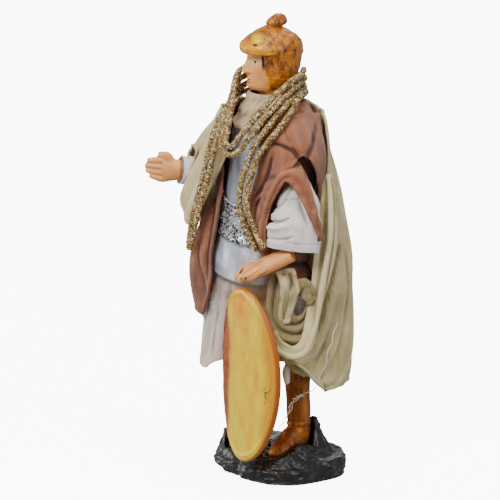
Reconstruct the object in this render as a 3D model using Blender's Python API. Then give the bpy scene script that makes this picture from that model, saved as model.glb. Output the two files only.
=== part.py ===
# Nativity soldier figurine: terracotta head, hands and boots on a rock base, dressed in real cloth.
# Metres, +Z up. The figure faces -Y, its left side is at +X, and the origin is on the underside of the base.
import math

import bmesh
import bpy
import numpy as np
from mathutils import Vector

# Driving sizes of the figure and of its pieces, in metres.
GAP = 0.0004  # clearance between pieces that touch
CLOTH = 0.0009  # thickness of the solid that stands for a layer of cloth
FACET = 0.0005  # what the flat faces of a curved layer may stand off the curve
BELT = 0.0008  # thickness of the sash
CORD_DIAMETER = 0.0018
BOOT_GROUND_Z = 0.0062  # the soles, sunk a little into the rock
ROCK_TOP_Z = 0.0072
HIP_Z = 0.0560  # the hem of the silver tunic
WAIST_Z = 0.0735
CHEST_Z = 0.0910
SHOULDER_Z = 0.0985
COLLAR_Z = 0.1025  # the top of the tunic, where the neck goes in
CHIN_Z = 0.1080
HEAD_HEIGHT = 0.0173  # from the chin to the top of the helmet
CROWN_Z = CHIN_Z + HEAD_HEIGHT
KNOB_HEIGHT = 0.0034
NECKCLOTH_RADIUS = 0.28 * HEAD_HEIGHT + 0.00095  # just outside the neck, which is cast with the head
SHIELD_HEIGHT = 0.0490
SHIELD_WIDTH = 0.0254
SHIELD_THICKNESS = 0.0021
SHIELD_BULGE = 0.0030
SHIELD_FOOT_Z = 0.0080
SHIELD_TOP_Z = SHIELD_FOOT_Z + SHIELD_HEIGHT
ARM_RISE = max(SHIELD_TOP_Z - 0.0570, 0.0)  # how far a taller shield lifts the arm that rests on it
SHIELD_CENTRE = (0.0086, -0.0150)
SHIELD_TURN = math.radians(-10)
HIP_LEAN = (-0.0031, -0.0031)  # how far the hips stand off the axis through the shoulders


def smoothstep(x):
    """0 below 0, 1 above 1, and 3x^2 - 2x^3 between."""
    x = np.clip(x, 0.0, 1.0)
    return x * x * (3 - 2 * x)


def bump(x, centre, width):
    """A bell of height 1 around centre: exp(-((x - centre) / width)^2)."""
    return np.exp(-(((x - centre) / width) ** 2))


def through(keys, places):
    """The smooth (Catmull-Rom) curve through the keys, read at places from 0 to len(keys) - 1."""
    keys = np.asarray(keys, float)
    places = np.clip(np.asarray(places, float), 0, len(keys) - 1)
    low = np.minimum(places.astype(int), len(keys) - 2)
    part = (places - low).reshape(places.shape + (1,) * (keys.ndim - 1))
    first, last = 2 * keys[0] - keys[1], 2 * keys[-1] - keys[-2]
    padded = np.concatenate([first[None], keys, last[None]])
    a, b, c, d = (padded[low + k] for k in range(4))
    bend = (2 * a - 5 * b + 4 * c - d) * part**2 + (3 * b - a - 3 * c + d) * part**3
    return 0.5 * (2 * b + (c - a) * part + bend)


def evenly(keys, count):
    """count points on the smooth curve through the keys, the same number of steps apart along the keys."""
    return through(keys, np.linspace(0, len(keys) - 1, count))


def facing(degrees):
    """The level unit direction that many degrees from the front (-Y) towards the figure's left (+X)."""
    angle = np.radians(degrees)
    return np.stack([np.sin(angle), -np.cos(angle), np.zeros_like(angle)], axis=-1)


def turned(angle):
    """The matrix that turns points about the upright axis."""
    return np.array(
        [[math.cos(angle), -math.sin(angle), 0], [math.sin(angle), math.cos(angle), 0], [0, 0, 1]]
    )


# Materials and meshes


def paint(name, colour, roughness, metallic=0.0):
    """A plain Principled material."""
    material = bpy.data.materials.new(name)
    material.use_nodes = True
    shader = material.node_tree.nodes["Principled BSDF"]
    shader.inputs["Base Color"].default_value = (*colour, 1.0)
    shader.inputs["Roughness"].default_value = roughness
    shader.inputs["Metallic"].default_value = metallic
    return material


def add_solid(name, points, faces, material, smooth=True):
    """Adds a closed mesh, with its faces turned outwards."""
    mesh = bpy.data.meshes.new(name)
    mesh.from_pydata([tuple(p) for p in points], [], faces)
    shape = bmesh.new()
    shape.from_mesh(mesh)
    bmesh.ops.triangulate(shape, faces=shape.faces)
    if shape.calc_volume(signed=True) < 0:
        bmesh.ops.reverse_faces(shape, faces=shape.faces)
    shape.to_mesh(mesh)
    shape.free()
    mesh.materials.append(material)
    if smooth:
        mesh.shade_smooth()
        mesh.set_sharp_from_angle(angle=math.radians(50))
    solid = bpy.data.objects.new(name, mesh)
    bpy.context.scene.collection.objects.link(solid)
    return solid


def band_faces(rows, columns, start, wraps):
    """Quads of a grid of points that begins at index start."""
    across = columns if wraps else columns - 1
    return [
        (
            start + row * columns + column,
            start + row * columns + (column + 1) % columns,
            start + (row + 1) * columns + (column + 1) % columns,
            start + (row + 1) * columns + column,
        )
        for row in range(rows - 1)
        for column in range(across)
    ]


def add_loft(name, rings, material, smooth=True):
    """A solid through closed rings, with a point in the middle of each end."""
    rings = np.asarray(rings, float)
    rows, columns = rings.shape[:2]
    points = np.concatenate([rings.reshape(-1, 3), rings[0].mean(0)[None], rings[-1].mean(0)[None]])
    first, last = rows * columns, rows * columns + 1
    faces = band_faces(rows, columns, 0, True)
    for column in range(columns):
        beside = (column + 1) % columns
        faces.append((first, beside, column))
        faces.append((last, (rows - 1) * columns + column, (rows - 1) * columns + beside))
    return add_solid(name, points, faces, material, smooth)


def add_cloth(name, outer, inner, wraps, material):
    """A closed layer between two grids of points; wraps joins the last column to the first."""
    rows, columns = outer.shape[:2]
    count = rows * columns
    points = np.concatenate([outer.reshape(-1, 3), inner.reshape(-1, 3)])
    faces = band_faces(rows, columns, 0, wraps)
    faces += [face[::-1] for face in band_faces(rows, columns, count, wraps)]
    for column in range(columns if wraps else columns - 1):
        beside = (column + 1) % columns
        low = (rows - 1) * columns
        faces.append((beside, column, count + column, count + beside))
        faces.append((low + column, low + beside, count + low + beside, count + low + column))
    if not wraps:
        for row in range(rows - 1):
            here, below, right = row * columns, (row + 1) * columns, columns - 1
            faces.append((here, below, count + below, count + here))
            faces.append((below + right, here + right, count + here + right, count + below + right))
    return add_solid(name, points, faces, material)


def thickened(grid, thickness):
    """A copy of a grid of points, moved by thickness along the grid's own normals."""
    along = np.gradient(grid, axis=0)
    across = np.gradient(grid, axis=1)
    normal = np.cross(along, across)
    normal /= np.linalg.norm(normal, axis=-1, keepdims=True)
    return grid + normal * thickness


# The drapery and the arms are laid out from the figure's left front corner: across, then towards the corner.

ACROSS = np.array([math.sqrt(0.5), math.sqrt(0.5), 0.0])
TOWARDS = np.array([math.sqrt(0.5), -math.sqrt(0.5), 0.0])


def corner(across, towards, height):
    """The point that far across, towards the left front corner, and up."""
    return ACROSS * across + TOWARDS * towards + np.array([0.0, 0.0, height])


# The dressed body: each layer is a lift outwards from one profile of the tunic.
# A station holds its height, half width, depth in front and depth behind.

BODY = [
    (COLLAR_Z, NECKCLOTH_RADIUS - 0.0006, NECKCLOTH_RADIUS - 0.0008, NECKCLOTH_RADIUS - 0.0004),
    (COLLAR_Z - 0.0018, NECKCLOTH_RADIUS + 0.0022, NECKCLOTH_RADIUS + 0.0012, NECKCLOTH_RADIUS + 0.0016),
    (SHOULDER_Z, 0.0103, 0.0088, 0.0086),
    (SHOULDER_Z - 0.0035, 0.0113, 0.0100, 0.0089),
    (CHEST_Z - 0.0030, 0.0114, 0.0108, 0.0089),
    (WAIST_Z + 0.0065, 0.0108, 0.0106, 0.0087),
    (WAIST_Z, 0.0109, 0.0108, 0.0088),
    (WAIST_Z - 0.0060, 0.0120, 0.0116, 0.0096),
    (HIP_Z + 0.0055, 0.0129, 0.0124, 0.0104),
    (HIP_Z, 0.0133, 0.0128, 0.0107),
]
COAT = [
    (COLLAR_Z + 0.0014, NECKCLOTH_RADIUS + 0.0020, NECKCLOTH_RADIUS + 0.0026, NECKCLOTH_RADIUS + 0.0030),
    (COLLAR_Z + 0.0004, NECKCLOTH_RADIUS + 0.0034, NECKCLOTH_RADIUS + 0.0031, NECKCLOTH_RADIUS + 0.0038),
    (SHOULDER_Z + 0.0012, NECKCLOTH_RADIUS + 0.0057, NECKCLOTH_RADIUS + 0.0043, NECKCLOTH_RADIUS + 0.0045),
    (SHOULDER_Z - 0.0030, 0.0125, 0.0113, 0.0104),
    (CHEST_Z - 0.0030, 0.0127, 0.0121, 0.0103),
    (WAIST_Z + 0.0045, 0.0128, 0.0124, 0.0104),
    (WAIST_Z - 0.0030, 0.0133, 0.0129, 0.0109),
    (HIP_Z + 0.0065, 0.0142, 0.0137, 0.0117),
    (HIP_Z, 0.0147, 0.0141, 0.0124),
    (HIP_Z - 0.0070, 0.0150, 0.0142, 0.0130),
    (HIP_Z - 0.0130, 0.0151, 0.0142, 0.0134),
]


def lean(height):
    """How far the middle of the figure stands off the axis: none at the chest, all of it at the hips."""
    share = smoothstep((CHEST_Z - height) / (CHEST_Z - HIP_Z))
    return share[..., None] * np.array([HIP_LEAN[0], HIP_LEAN[1], 0.0])


def skin(profile, degrees, place):
    """A profile at a place along its stations: its radius in a direction, its height and its slope."""
    step = 0.05
    values = through(profile, place)
    ahead = through(profile, place + step) - through(profile, place - step)
    away = facing(degrees)
    front = smoothstep(0.5 + 0.9 * away[..., 1])

    def depth(rows):
        return rows[..., 2] + (rows[..., 3] - rows[..., 2]) * front

    wide, deep = values[..., 1], depth(values)
    radius = wide * deep / np.hypot(wide * away[..., 1], deep * away[..., 0])
    spread = np.maximum(np.abs(away[..., 0]) * ahead[..., 1] + np.abs(away[..., 1]) * depth(ahead), 0)
    slope = np.hypot(spread, ahead[..., 0])
    return radius, values[..., 0], -ahead[..., 0] / slope, spread / slope


def layer(profile, degrees, place, lift):
    """Points of a layer: the profile in a direction, lifted square to its slope."""
    degrees, place, lift = np.broadcast_arrays(degrees, place, lift)
    radius, height, out, up = skin(profile, degrees, place)
    points = facing(degrees) * (radius + out * lift)[..., None]
    points[..., 2] = height + up * lift
    return points + lean(height)


def folds(degrees, count, phase, sharp=0.0):
    """Hanging folds round the figure, from 0 to 1; sharp narrows their crests."""
    wave = 0.5 + 0.5 * np.cos(np.radians(degrees * count) + phase)
    return wave ** (1 + sharp)


def angles(first, last, count):
    """count directions from first to last, in degrees."""
    return np.linspace(first, last, count)


def tunic():
    """The torso in its silver tunic: solid, with a soft flared hem."""
    degrees = angles(0, 360, 25)[:-1][None, :]
    place = np.linspace(0, len(BODY) - 1, 12)[:, None]
    flare = smoothstep((place - 6.5) / 2.5)
    lift = 0.0006 * flare * folds(degrees, 7, 0.6)
    silver = paint("silver_lame", (0.66, 0.67, 0.69), 0.35, 0.6)
    return add_loft("tunic", layer(BODY, degrees, place, lift), silver)


def belt():
    """A glittering silver sash round the waist, slung lower on the left hip."""
    degrees = angles(0, 360, 23)[:-1][None, :]
    slant = 0.55 * np.sin(np.radians(degrees))
    place = 6.15 + slant + np.linspace(-0.7, 0.7, 3)[:, None]
    outer = layer(BODY, degrees, place, GAP + BELT)
    inner = layer(BODY, degrees, place, GAP)
    return add_cloth("belt", outer, inner, True, paint("silver_glitter", (0.72, 0.73, 0.75), 0.3, 0.8))


SKIRT_HEM_Z = 0.0350
SKIRT_RADIUS = 0.0120


def skirt():
    """The white underskirt, its hem in points; it clears the shield and the left leg."""
    degrees = angles(0, 360, 31)[:-1][None, :]
    share = np.linspace(0, 1, 6)[:, None]
    shield_side = smoothstep((degrees + 16) / 14) * smoothstep((72 - degrees) / 20)
    shield_side = np.maximum(shield_side, smoothstep((degrees - 344) / 14))
    left_leg = bump(degrees, 108, 34)
    point = bump(degrees, 332, 20)
    hem = SKIRT_HEM_Z - 0.0056 * point + 0.0064 * left_leg + 0.0012 * np.cos(np.radians(3 * degrees) + 1.2)
    top = HIP_Z - GAP
    height = top + (hem - top) * share
    dent = shield_side * (0.0010 + 0.0044 * smoothstep(share * 1.8))
    wide = SKIRT_RADIUS + 0.0010 * share - dent + 0.0022 * point * share
    wide = wide + left_leg * (0.0008 + 0.0060 * share)
    radius = wide + 0.0008 * smoothstep(share * 1.6) * (1 - shield_side) * (2 * folds(degrees, 9, 0.4) - 1)
    away = facing(degrees + 0 * share)
    outer = away * radius[..., None]
    inner = away * (radius - CLOTH)[..., None]
    outer[..., 2] = inner[..., 2] = height
    middle = lean(height)
    white = paint("white_cotton", (0.80, 0.75, 0.70), 0.85)
    return add_cloth("skirt", outer + middle, inner + middle, True, white)


def scarf():
    """A pale cloth wound round the neck, falling to a bib on the chest."""
    degrees = angles(0, 360, 25)[:-1][None, :]
    share = np.linspace(0, 1, 5)[:, None]
    front = bump(degrees, 0, 60) + bump(degrees - 360, 0, 60)
    height = CHIN_Z - 0.0008 - share * (0.0046 + 0.0038 * front)
    radius = NECKCLOTH_RADIUS + 0.0012 * share + 0.0042 * front * share**0.8
    radius = radius + 0.0003 * np.cos(share * 14 + np.radians(2 * degrees))
    outer = facing(degrees + 0 * share) * radius[..., None]
    inner = facing(degrees + 0 * share) * (radius - CLOTH)[..., None]
    outer[..., 2] = inner[..., 2] = height
    return add_cloth("scarf", outer, inner, True, paint("beige_gauze", (0.76, 0.68, 0.56), 0.9))


NEAR_EDGE = [42, 39, 36, 34, 27, 22, 25, 52, 70, 74, 76]
FAR_EDGE = [-38, -37, -36, -34, -31, -17, -13, -9, -5, -14, -24]


def coat_lift(degrees, place):
    """How far the coat stands off its profile: folds that open towards the hem, and a fuller right front."""
    low = smoothstep((place - 4) / 6)
    panel = bump(degrees, 318, 26) * bump(place, 6.9, 2.0)
    return low * 0.0007 * folds(degrees, 11, 0.8) + 0.0034 * panel


def coat():
    """The brown coat, open in front, from the collar to the thighs."""
    places = np.linspace(0, len(COAT) - 1, 12)
    shares = np.linspace(0, 1, 27)
    first, last = through(NEAR_EDGE, places), through(FAR_EDGE, places) + 360
    degrees = first[:, None] + (last - first)[:, None] * shares[None, :]
    end = len(COAT) - 1 - 1.3 * bump(degrees, 200, 70) - 1.5 * bump(degrees, 100, 40)
    end = end - 0.5 * bump(degrees, 325, 30)
    place = np.linspace(0, 1, 12)[:, None] * end
    lift = coat_lift(degrees, place)
    return add_cloth(
        "coat",
        layer(COAT, degrees, place, lift + CLOTH),
        layer(COAT, degrees, place, lift),
        False,
        paint("brown_cotton", (0.35, 0.19, 0.13), 0.85),
    )


# A coat sleeve: the directions of its two sides, the direction where it stands out over the arm, by how much,
# and how far down the coat's stations its mouth lies, from the first side to the last.

LEFT_SLEEVE = (30, 132, 66, 0.0062, [4.9, 4.2, 3.4, 4.6, 6.6, 6.9])
RIGHT_SLEEVE = (312, 228, 276, 0.0036, [3.7, 3.5, 3.4, 3.5, 3.8])


def sleeve_lift(sleeve, degrees, place):
    """How far a sleeve stands off the coat: nothing at its sides and the shoulder, most over the arm."""
    first, last, peak, bulge = sleeve[:4]
    across = (degrees - first) / (last - first)
    arch = bump(degrees, peak, 0.36 * abs(last - first)) * smoothstep(4 * across) * smoothstep(4 - 4 * across)
    return bulge * arch * smoothstep((place - 1.6) / 2.2)


def coat_sleeve(name, sleeve):
    """A wide coat sleeve: cloth that lies on the coat at its two sides and stands out over the arm."""
    first, last, ends = sleeve[0], sleeve[1], sleeve[4]
    across = np.linspace(0, 1, 13)[None, :]
    down = np.linspace(0, 1, 8)[:, None]
    degrees = first + (last - first) * across
    top = 2.1 + 0.5 * (2 * across - 1) ** 2
    place = top + (through(ends, across[0] * (len(ends) - 1))[None, :] - top) * down
    lift = CLOTH + coat_lift(degrees, place) + GAP + sleeve_lift(sleeve, degrees, place)
    return add_cloth(
        name,
        layer(COAT, degrees, place, lift + CLOTH),
        layer(COAT, degrees, place, lift),
        False,
        paint(name + "_brown", (0.36, 0.20, 0.14), 0.85),
    )


def outside_coat(points, clearance):
    """Points of a layer over the coat and its sleeves: those that would come closer move square away."""
    points = np.array(points, float)
    for _ in range(3):
        middle = lean(points[..., 2])
        away = (points - middle)[..., :2]
        distance = np.linalg.norm(away, axis=-1)
        degrees = np.degrees(np.arctan2(away[..., 0], -away[..., 1])) % 360
        height = points[..., 2]
        for _ in range(4):
            place = np.interp(-height, [-row[0] for row in COAT], np.arange(len(COAT)))
            radius, level, out, up = skin(COAT, degrees, place)
            off = (distance - radius) * out + (points[..., 2] - level) * up
            height = points[..., 2] - up * off
        lift = CLOTH + coat_lift(degrees, place) + clearance
        for sleeve in (LEFT_SLEEVE, RIGHT_SLEEVE):
            low, high = sorted(sleeve[:2])
            over = smoothstep((degrees - low + 8) / 6) * smoothstep((high + 8 - degrees) / 6)
            over = over * smoothstep((place - 1.2) / 0.6)
            lift = lift + over * (GAP + CLOTH + sleeve_lift(sleeve, degrees, place))
        move = np.maximum(lift - off, 0) * (points[..., 2] < COAT[0][0] + 3 * CLOTH)
        points[..., :2] += away / distance[..., None] * (out * move)[..., None]
        points[..., 2] += up * move
    return points


# Arms: tubes along a smooth path, with their own width and depth at each station


def tube_rings(path, wide, deep, side, count, stations):
    """Rings round a path. side is the direction of the wide axis, squared up to the path at each station."""
    middle = evenly(path, stations)
    along = np.gradient(middle, axis=0)
    along /= np.linalg.norm(along, axis=1, keepdims=True)
    side = np.asarray(side, float) - (along @ np.asarray(side, float))[:, None] * along
    side /= np.linalg.norm(side, axis=1, keepdims=True)
    other = np.cross(along, side)
    turn = np.linspace(0, 2 * math.pi, count, endpoint=False)
    wide, deep = evenly(wide, stations), evenly(deep, stations)
    return (
        middle[:, None]
        + (np.cos(turn)[None, :, None] * side[:, None]) * wide[:, None, None]
        + (np.sin(turn)[None, :, None] * other[:, None]) * deep[:, None, None]
    )


LEFT_ELBOW = corner(0.0072, 0.0178 + 0.5 * ARM_RISE, 0.0812 + 0.3 * ARM_RISE)
LEFT_KNUCKLES = np.array([*SHIELD_CENTRE, SHIELD_TOP_Z]) + (0.0002, -0.0016 - 0.2 * ARM_RISE, 0.0038)
LEFT_CUFF = corner(0.0056, 0.0196 + 0.5 * ARM_RISE, SHIELD_TOP_Z + 0.0108)
RIGHT_ELBOW = np.array([-0.0178, 0.0006, 0.0824])
RIGHT_CUFF = np.array([-0.0240, -0.0116, 0.0832])
RIGHT_HAND = RIGHT_CUFF + np.array([-0.0036, -0.0034, 0.0001])


def shirt_sleeves():
    """The white shirt sleeves that come out of the coat."""
    colour = (0.80, 0.76, 0.74)
    above_elbow = LEFT_ELBOW + (0.0002, 0.0008, 0.0052)
    forearm = (LEFT_ELBOW + LEFT_CUFF) / 2 + (0.0004, -0.0006, -0.0010)
    path = [above_elbow, LEFT_ELBOW, forearm, LEFT_CUFF]
    wide, deep = [0.0022, 0.0054, 0.0072, 0.0070], [0.0012, 0.0026, 0.0036, 0.0032]
    rings = tube_rings(path, wide, deep, ACROSS, 18, 9)
    crease = 1 + 0.05 * np.cos(np.arange(9) * 2.4)[:, None, None]
    middle = rings.mean(1, keepdims=True)
    rings = middle + (rings - middle) * crease
    add_loft("shirt_sleeve_left", rings, paint("shirt_cotton_left", colour, 0.85))
    path = [RIGHT_ELBOW, (RIGHT_ELBOW + RIGHT_CUFF) / 2 + (0, 0, -0.0006), RIGHT_CUFF]
    rings = tube_rings(path, [0.0026, 0.0038, 0.0040], [0.0026, 0.0038, 0.0037], (0, 0, 1), 12, 7)
    add_loft("shirt_sleeve_right", rings, paint("shirt_cotton_right", colour, 0.85))


def mitten(name, path, wide, deep, side, thumb, thumb_radius):
    """A hand: one form with its fingers together, shallow grooves between them, and a thumb joined on."""
    material = paint(name + "_skin", (0.72, 0.44, 0.28), 0.5)
    stations, count = 9, 20
    rings = tube_rings(path, wide, deep, side, count, stations)
    middle = rings.mean(1, keepdims=True)
    turn = np.linspace(0, 2 * math.pi, count, endpoint=False)
    fingers = smoothstep((np.linspace(0, 1, stations) - 0.45) / 0.25)[:, None]
    groove = 1 - 0.10 * fingers * (np.abs(np.sin(turn)) > 0.4) * (np.cos(turn * 8)[None, :] < -0.4)
    hand = add_loft(name, middle + (rings - middle) * groove[..., None], material)
    thick = [thumb_radius, thumb_radius, thumb_radius * 0.6]
    stub = add_loft(name + "_thumb", tube_rings(thumb, thick, thick, side, 8, 5), material)
    stub.hide_render = True
    stub.display_type = "WIRE"
    union = hand.modifiers.new("thumb", "BOOLEAN")
    union.operation = "UNION"
    union.object = stub
    return hand


def hands():
    """The two terracotta hands."""
    reach = LEFT_KNUCKLES - LEFT_CUFF
    reach /= np.linalg.norm(reach)
    start = LEFT_CUFF + reach * (GAP + 0.0014) + (0, 0, -0.0012)
    tips = LEFT_KNUCKLES + np.array([-0.0034, -0.0020, -0.0006])
    palm = (start + LEFT_KNUCKLES) / 2
    thumb_root = LEFT_KNUCKLES + np.array([-0.0022, 0.0014, 0.0006])
    mitten(
        "hand_left",
        [start, palm + (0, 0, 0.0004), LEFT_KNUCKLES, tips],
        [0.0028, 0.0036, 0.0042, 0.0034],
        [0.0022, 0.0026, 0.0026, 0.0016],
        (0.55, -0.8, -0.25),
        [
            palm + (thumb_root - LEFT_KNUCKLES) / 2,
            thumb_root - reach * 0.0012,
            thumb_root + reach * 0.0016 - (0, 0, 0.0010),
        ],
        0.0012,
    )
    reach = (RIGHT_HAND - RIGHT_CUFF) / np.linalg.norm(RIGHT_HAND - RIGHT_CUFF)
    start = RIGHT_CUFF + reach * (GAP + 0.0006)
    tips = RIGHT_HAND + reach * 0.0044 + (0, 0, 0.0004)
    mitten(
        "hand_right",
        [start, (start + RIGHT_HAND) / 2, RIGHT_HAND, tips],
        [0.0030, 0.0034, 0.0036, 0.0024],
        [0.0022, 0.0021, 0.0018, 0.0011],
        (0, 0, 1),
        [
            start + reach * 0.0020 + (0, 0, 0.0018),
            RIGHT_HAND - reach * 0.0014 + (0, 0, 0.0040),
            RIGHT_HAND + reach * 0.0014 + (0, 0, 0.0042),
        ],
        0.0013,
    )


# The cape: threads of the cloth from its top edge to its hem, across, towards the corner and up, in mm.
# Its left front corner is tucked up over the hip, and its right side is thrown over the right forearm.

MM = 0.001
CAPE_THREADS = [
    [(12.4, 2.4, 101.0), (13.4, 3.8, 94), (13.8, 5.6, 84), (13.8, 7.5, 74),
     (13.2, 10.0, 61), (11.8, 12.4, 52), (9.4, 14.2, 47.6), (6.4, 15.4, 49.0),
     (3.8, 16.2, 53), (2.6, 16.6, 57.6)],
    [(12.8, 0.6, 101.6), (14.2, 2.5, 94), (15.6, 4.0, 84), (16.0, 6.2, 74),
     (15.0, 8.8, 60), (12.6, 11.6, 47), (8.6, 14.2, 39.2), (4.6, 15.4, 40),
     (1.6, 15.9, 45), (0.2, 16.2, 50.5)],
    [(12.2, -1.2, 102.2), (14.2, 1.4, 94), (16.4, 2.8, 84), (17.4, 4.6, 74),
     (17.6, 6.6, 60), (16.0, 8.8, 46), (12.0, 12.0, 35.6), (7.2, 14.2, 33.0),
     (3.0, 15.2, 37), (-0.2, 15.8, 43)],
    [(11.0, -3.4, 102.6), (14.0, -0.2, 94), (16.9, 1.0, 84), (18.5, 2.2, 74),
     (19.6, 3.4, 60), (19.8, 5.0, 46), (17.2, 7.6, 34.6), (12.6, 10.6, 28.8),
     (8.0, 13.0, 30), (3.4, 14.4, 35)],
    [(10.4, -4.6, 102.8), (13.8, -1.6, 94), (17.0, -0.3, 84), (18.9, 0.6, 74),
     (20.4, 1.6, 60), (20.9, 2.8, 46), (20.2, 4.4, 35), (17.6, 6.8, 28.8),
     (14.0, 8.6, 26.8), (10.2, 10.6, 26.8)],
    [(9.4, -6.0, 103.0), (13.3, -3.4, 94), (16.6, -2.2, 84), (18.6, -1.6, 74),
     (20.2, -0.6, 60), (21.0, 0.4, 48), (21.3, 1.5, 38), (20.6, 2.6, 31),
     (19.4, 3.8, 27.6), (17.8, 4.9, 25.6)],
    [(7.6, -8.4, 103.2), (12.2, -6.6, 94), (14.6, -7.1, 84), (16.4, -7.4, 74),
     (18.4, -7.8, 60), (19.6, -7.6, 48), (20.0, -6.8, 38), (20.4, -5.6, 31),
     (20.2, -4.8, 28), (19.8, -4.2, 25.6)],
    [(6.0, -9.6, 103.4), (9.4, -11.6, 94), (10.6, -13.2, 84), (11.4, -14.2, 74),
     (12.6, -15.6, 60), (13.4, -16.4, 48), (14.0, -17.0, 38), (14.4, -17.4, 31),
     (14.6, -17.4, 28), (14.6, -17.4, 25.2)],
    [(2.4, -11.6, 103.2), (3.0, -15.2, 94), (3.2, -16.8, 84), (3.4, -17.8, 74),
     (4.0, -19.2, 60), (4.6, -20.2, 48), (5.0, -20.6, 38), (5.2, -20.8, 31),
     (5.2, -20.8, 28), (5.2, -20.8, 25.4)],
    [(-0.6, -12.4, 102.8), (-3.0, -16.2, 95), (-3.8, -17.8, 85), (-4.2, -18.6, 75),
     (-4.6, -19.6, 61), (-4.6, -20.2, 49), (-4.4, -20.4, 40), (-4.4, -20.6, 33),
     (-4.4, -20.6, 29), (-4.4, -20.6, 26.6)],
    [(-3.2, -12.2, 102.2), (-6.8, -16.0, 97), (-9.8, -18.6, 90), (-11.6, -20.0, 82),
     (-12.6, -20.4, 72), (-12.8, -20.4, 62), (-12.8, -20.2, 53), (-12.6, -20.0, 46),
     (-12.4, -19.8, 40), (-12.2, -19.6, 35)],
    [(-4.8, -11.2, 101.8), (-8.4, -14.2, 99), (-12.4, -16.6, 95.4), (-15.4, -18.0, 91),
     (-17.4, -18.8, 86), (-19.0, -18.8, 81), (-19.8, -18.0, 77), (-20.0, -17.2, 72.5),
     (-19.4, -16.6, 67), (-18.6, -16.4, 61)],
    [(-5.6, -10.4, 101.8), (-9.2, -13.0, 99.8), (-12.8, -15.0, 97), (-15.6, -16.2, 94),
     (-17.8, -16.8, 91.4), (-19.4, -17.0, 89), (-20.6, -16.8, 87), (-21.4, -16.4, 85.4),
     (-22.0, -16.0, 84.2), (-22.4, -15.6, 83.2)],
    [(-6.4, -9.4, 101.8), (-9.6, -11.4, 100.2), (-12.4, -12.6, 98.2), (-14.6, -13.0, 96),
     (-16.4, -13.0, 94), (-17.8, -12.6, 92.2), (-19.0, -12.0, 90.8), (-19.8, -11.2, 89.8),
     (-20.6, -10.2, 89.2), (-21.4, -9.4, 88.8)],
    [(-8.6, -7.8, 101.0), (-11.0, -8.6, 100.0), (-13.2, -9.2, 98.2), (-15.2, -9.4, 96),
     (-16.8, -9.2, 93.8), (-18.2, -8.6, 91.6), (-19.2, -8.0, 90), (-20.0, -7.4, 88.8),
     (-20.6, -6.9, 88), (-21.2, -6.4, 87.2)],
    [(-9.8, -5.4, 100.6), (-12.0, -5.6, 99.4), (-14.0, -5.6, 97.6), (-15.6, -5.6, 95.4),
     (-16.9, -5.4, 92.6), (-18.2, -5.0, 89.6), (-19.8, -4.6, 86.4), (-21.6, -4.2, 83),
     (-23.2, -3.6, 79.6), (-24.3, -2.8, 76)],
    [(-10.8, -1.4, 99.8), (-12.2, -0.2, 98.0), (-13.4, 0.8, 95.6), (-14.6, 1.4, 92.8),
     (-15.8, 1.6, 89.4), (-17.2, 1.4, 85.6), (-18.8, 1.0, 81.8), (-20.6, 0.6, 78),
     (-22.0, 0.2, 74.2), (-22.8, 0.2, 70.6)],
    [(-10.2, 2.6, 98.4), (-10.8, 4.2, 96.4), (-11.4, 5.2, 94.2), (-11.8, 5.8, 92),
     (-13.0, 6.0, 88.6), (-14.4, 5.8, 85), (-16.0, 5.2, 81), (-17.8, 4.4, 77),
     (-19.6, 3.4, 73), (-21.2, 2.4, 69.2)],
]


def cape_grid(rows, columns):
    """The cape's cloth as a grid of points: smooth along its threads and across them."""
    threads = np.array(CAPE_THREADS) * MM
    across = evenly(threads, columns)
    down = through(np.swapaxes(across, 0, 1), np.linspace(0, threads.shape[1] - 1, rows))
    points = down[..., 0:1] * ACROSS + down[..., 1:2] * TOWARDS + down[..., 2:3] * np.array([0.0, 0.0, 1.0])
    return outside_coat(points, GAP + 0.0002)


def cape():
    """The long beige cape, from the shoulders down the back to the calves."""
    inner = cape_grid(15, 31)
    add_cloth("cape", thickened(inner, CLOTH), inner, False, paint("beige_voile", (0.62, 0.54, 0.38), 0.85))


# The gold cords. Both follow one line: up the left of the chest, round behind the neck and down the right.
# They lie side by side on it, each strand so many pitches outwards from the line.

PITCH = CORD_DIAMETER + 0.0005
CORD_END = (-7.0 - 0.3 * ARM_RISE / MM, 16.6, 66.8 + 1.2 * ARM_RISE / MM)
CORD_RISE = 71.8 + 0.8 * ARM_RISE / MM
NEAR_LINE = [CORD_END, (-8.8, 16.0, CORD_RISE), (-9.9, 15.4, 77.4), (-9.7, 14.8, 83.2), (-8.4, 14.4, 89.0),
             (-6.0, 13.8, 94.8)]
SHOULDER_LINE = [(-1.4, 12.4, 100.8), (2.4, 10.0, 105.2), (5.6, 5.8, 107.8), (8.0, 0.6, 108.8)]
NECK_LINE = [(8.6, -4.4, 109.2), (5.0, -8.6, 109.4), (0.0, -9.9, 109.4), (-5.0, -8.8, 109.2)]
FAR_SHOULDER_LINE = [(-8.4, -4.6, 108.8), (-10.6, 1.8, 107.0), (-12.4, 6.2, 103.2), (-13.8, 9.0, 98.2)]
FAR_LINE = [(-15.2, 9.8, 92.6), (-16.6, 9.8, 86.2), (-18.4, 9.2, 79.6), (-20.2, 8.4, 73.0),
            (-21.2, 7.8, 68.0)]
BREAST_LINE = [(-14.4, 11.4, 93.6), (-11.4, 13.8, 91.4), (-8.2, 15.0, 93.2), (-5.0, 14.5, 97.0)]


def strand(line, side):
    """Points of one strand: the line, moved sideways by side pitches, square to the line and to the body."""
    points = np.array([corner(*(MM * value for value in key)) for key in line])
    along = np.gradient(points, axis=0)
    outward = points * np.array([1.0, 1.0, 0.0])
    sideways = np.cross(along, outward)
    sideways /= np.linalg.norm(sideways, axis=1, keepdims=True)
    return points + sideways * PITCH * np.asarray(side, float).reshape(-1, 1)


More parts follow.
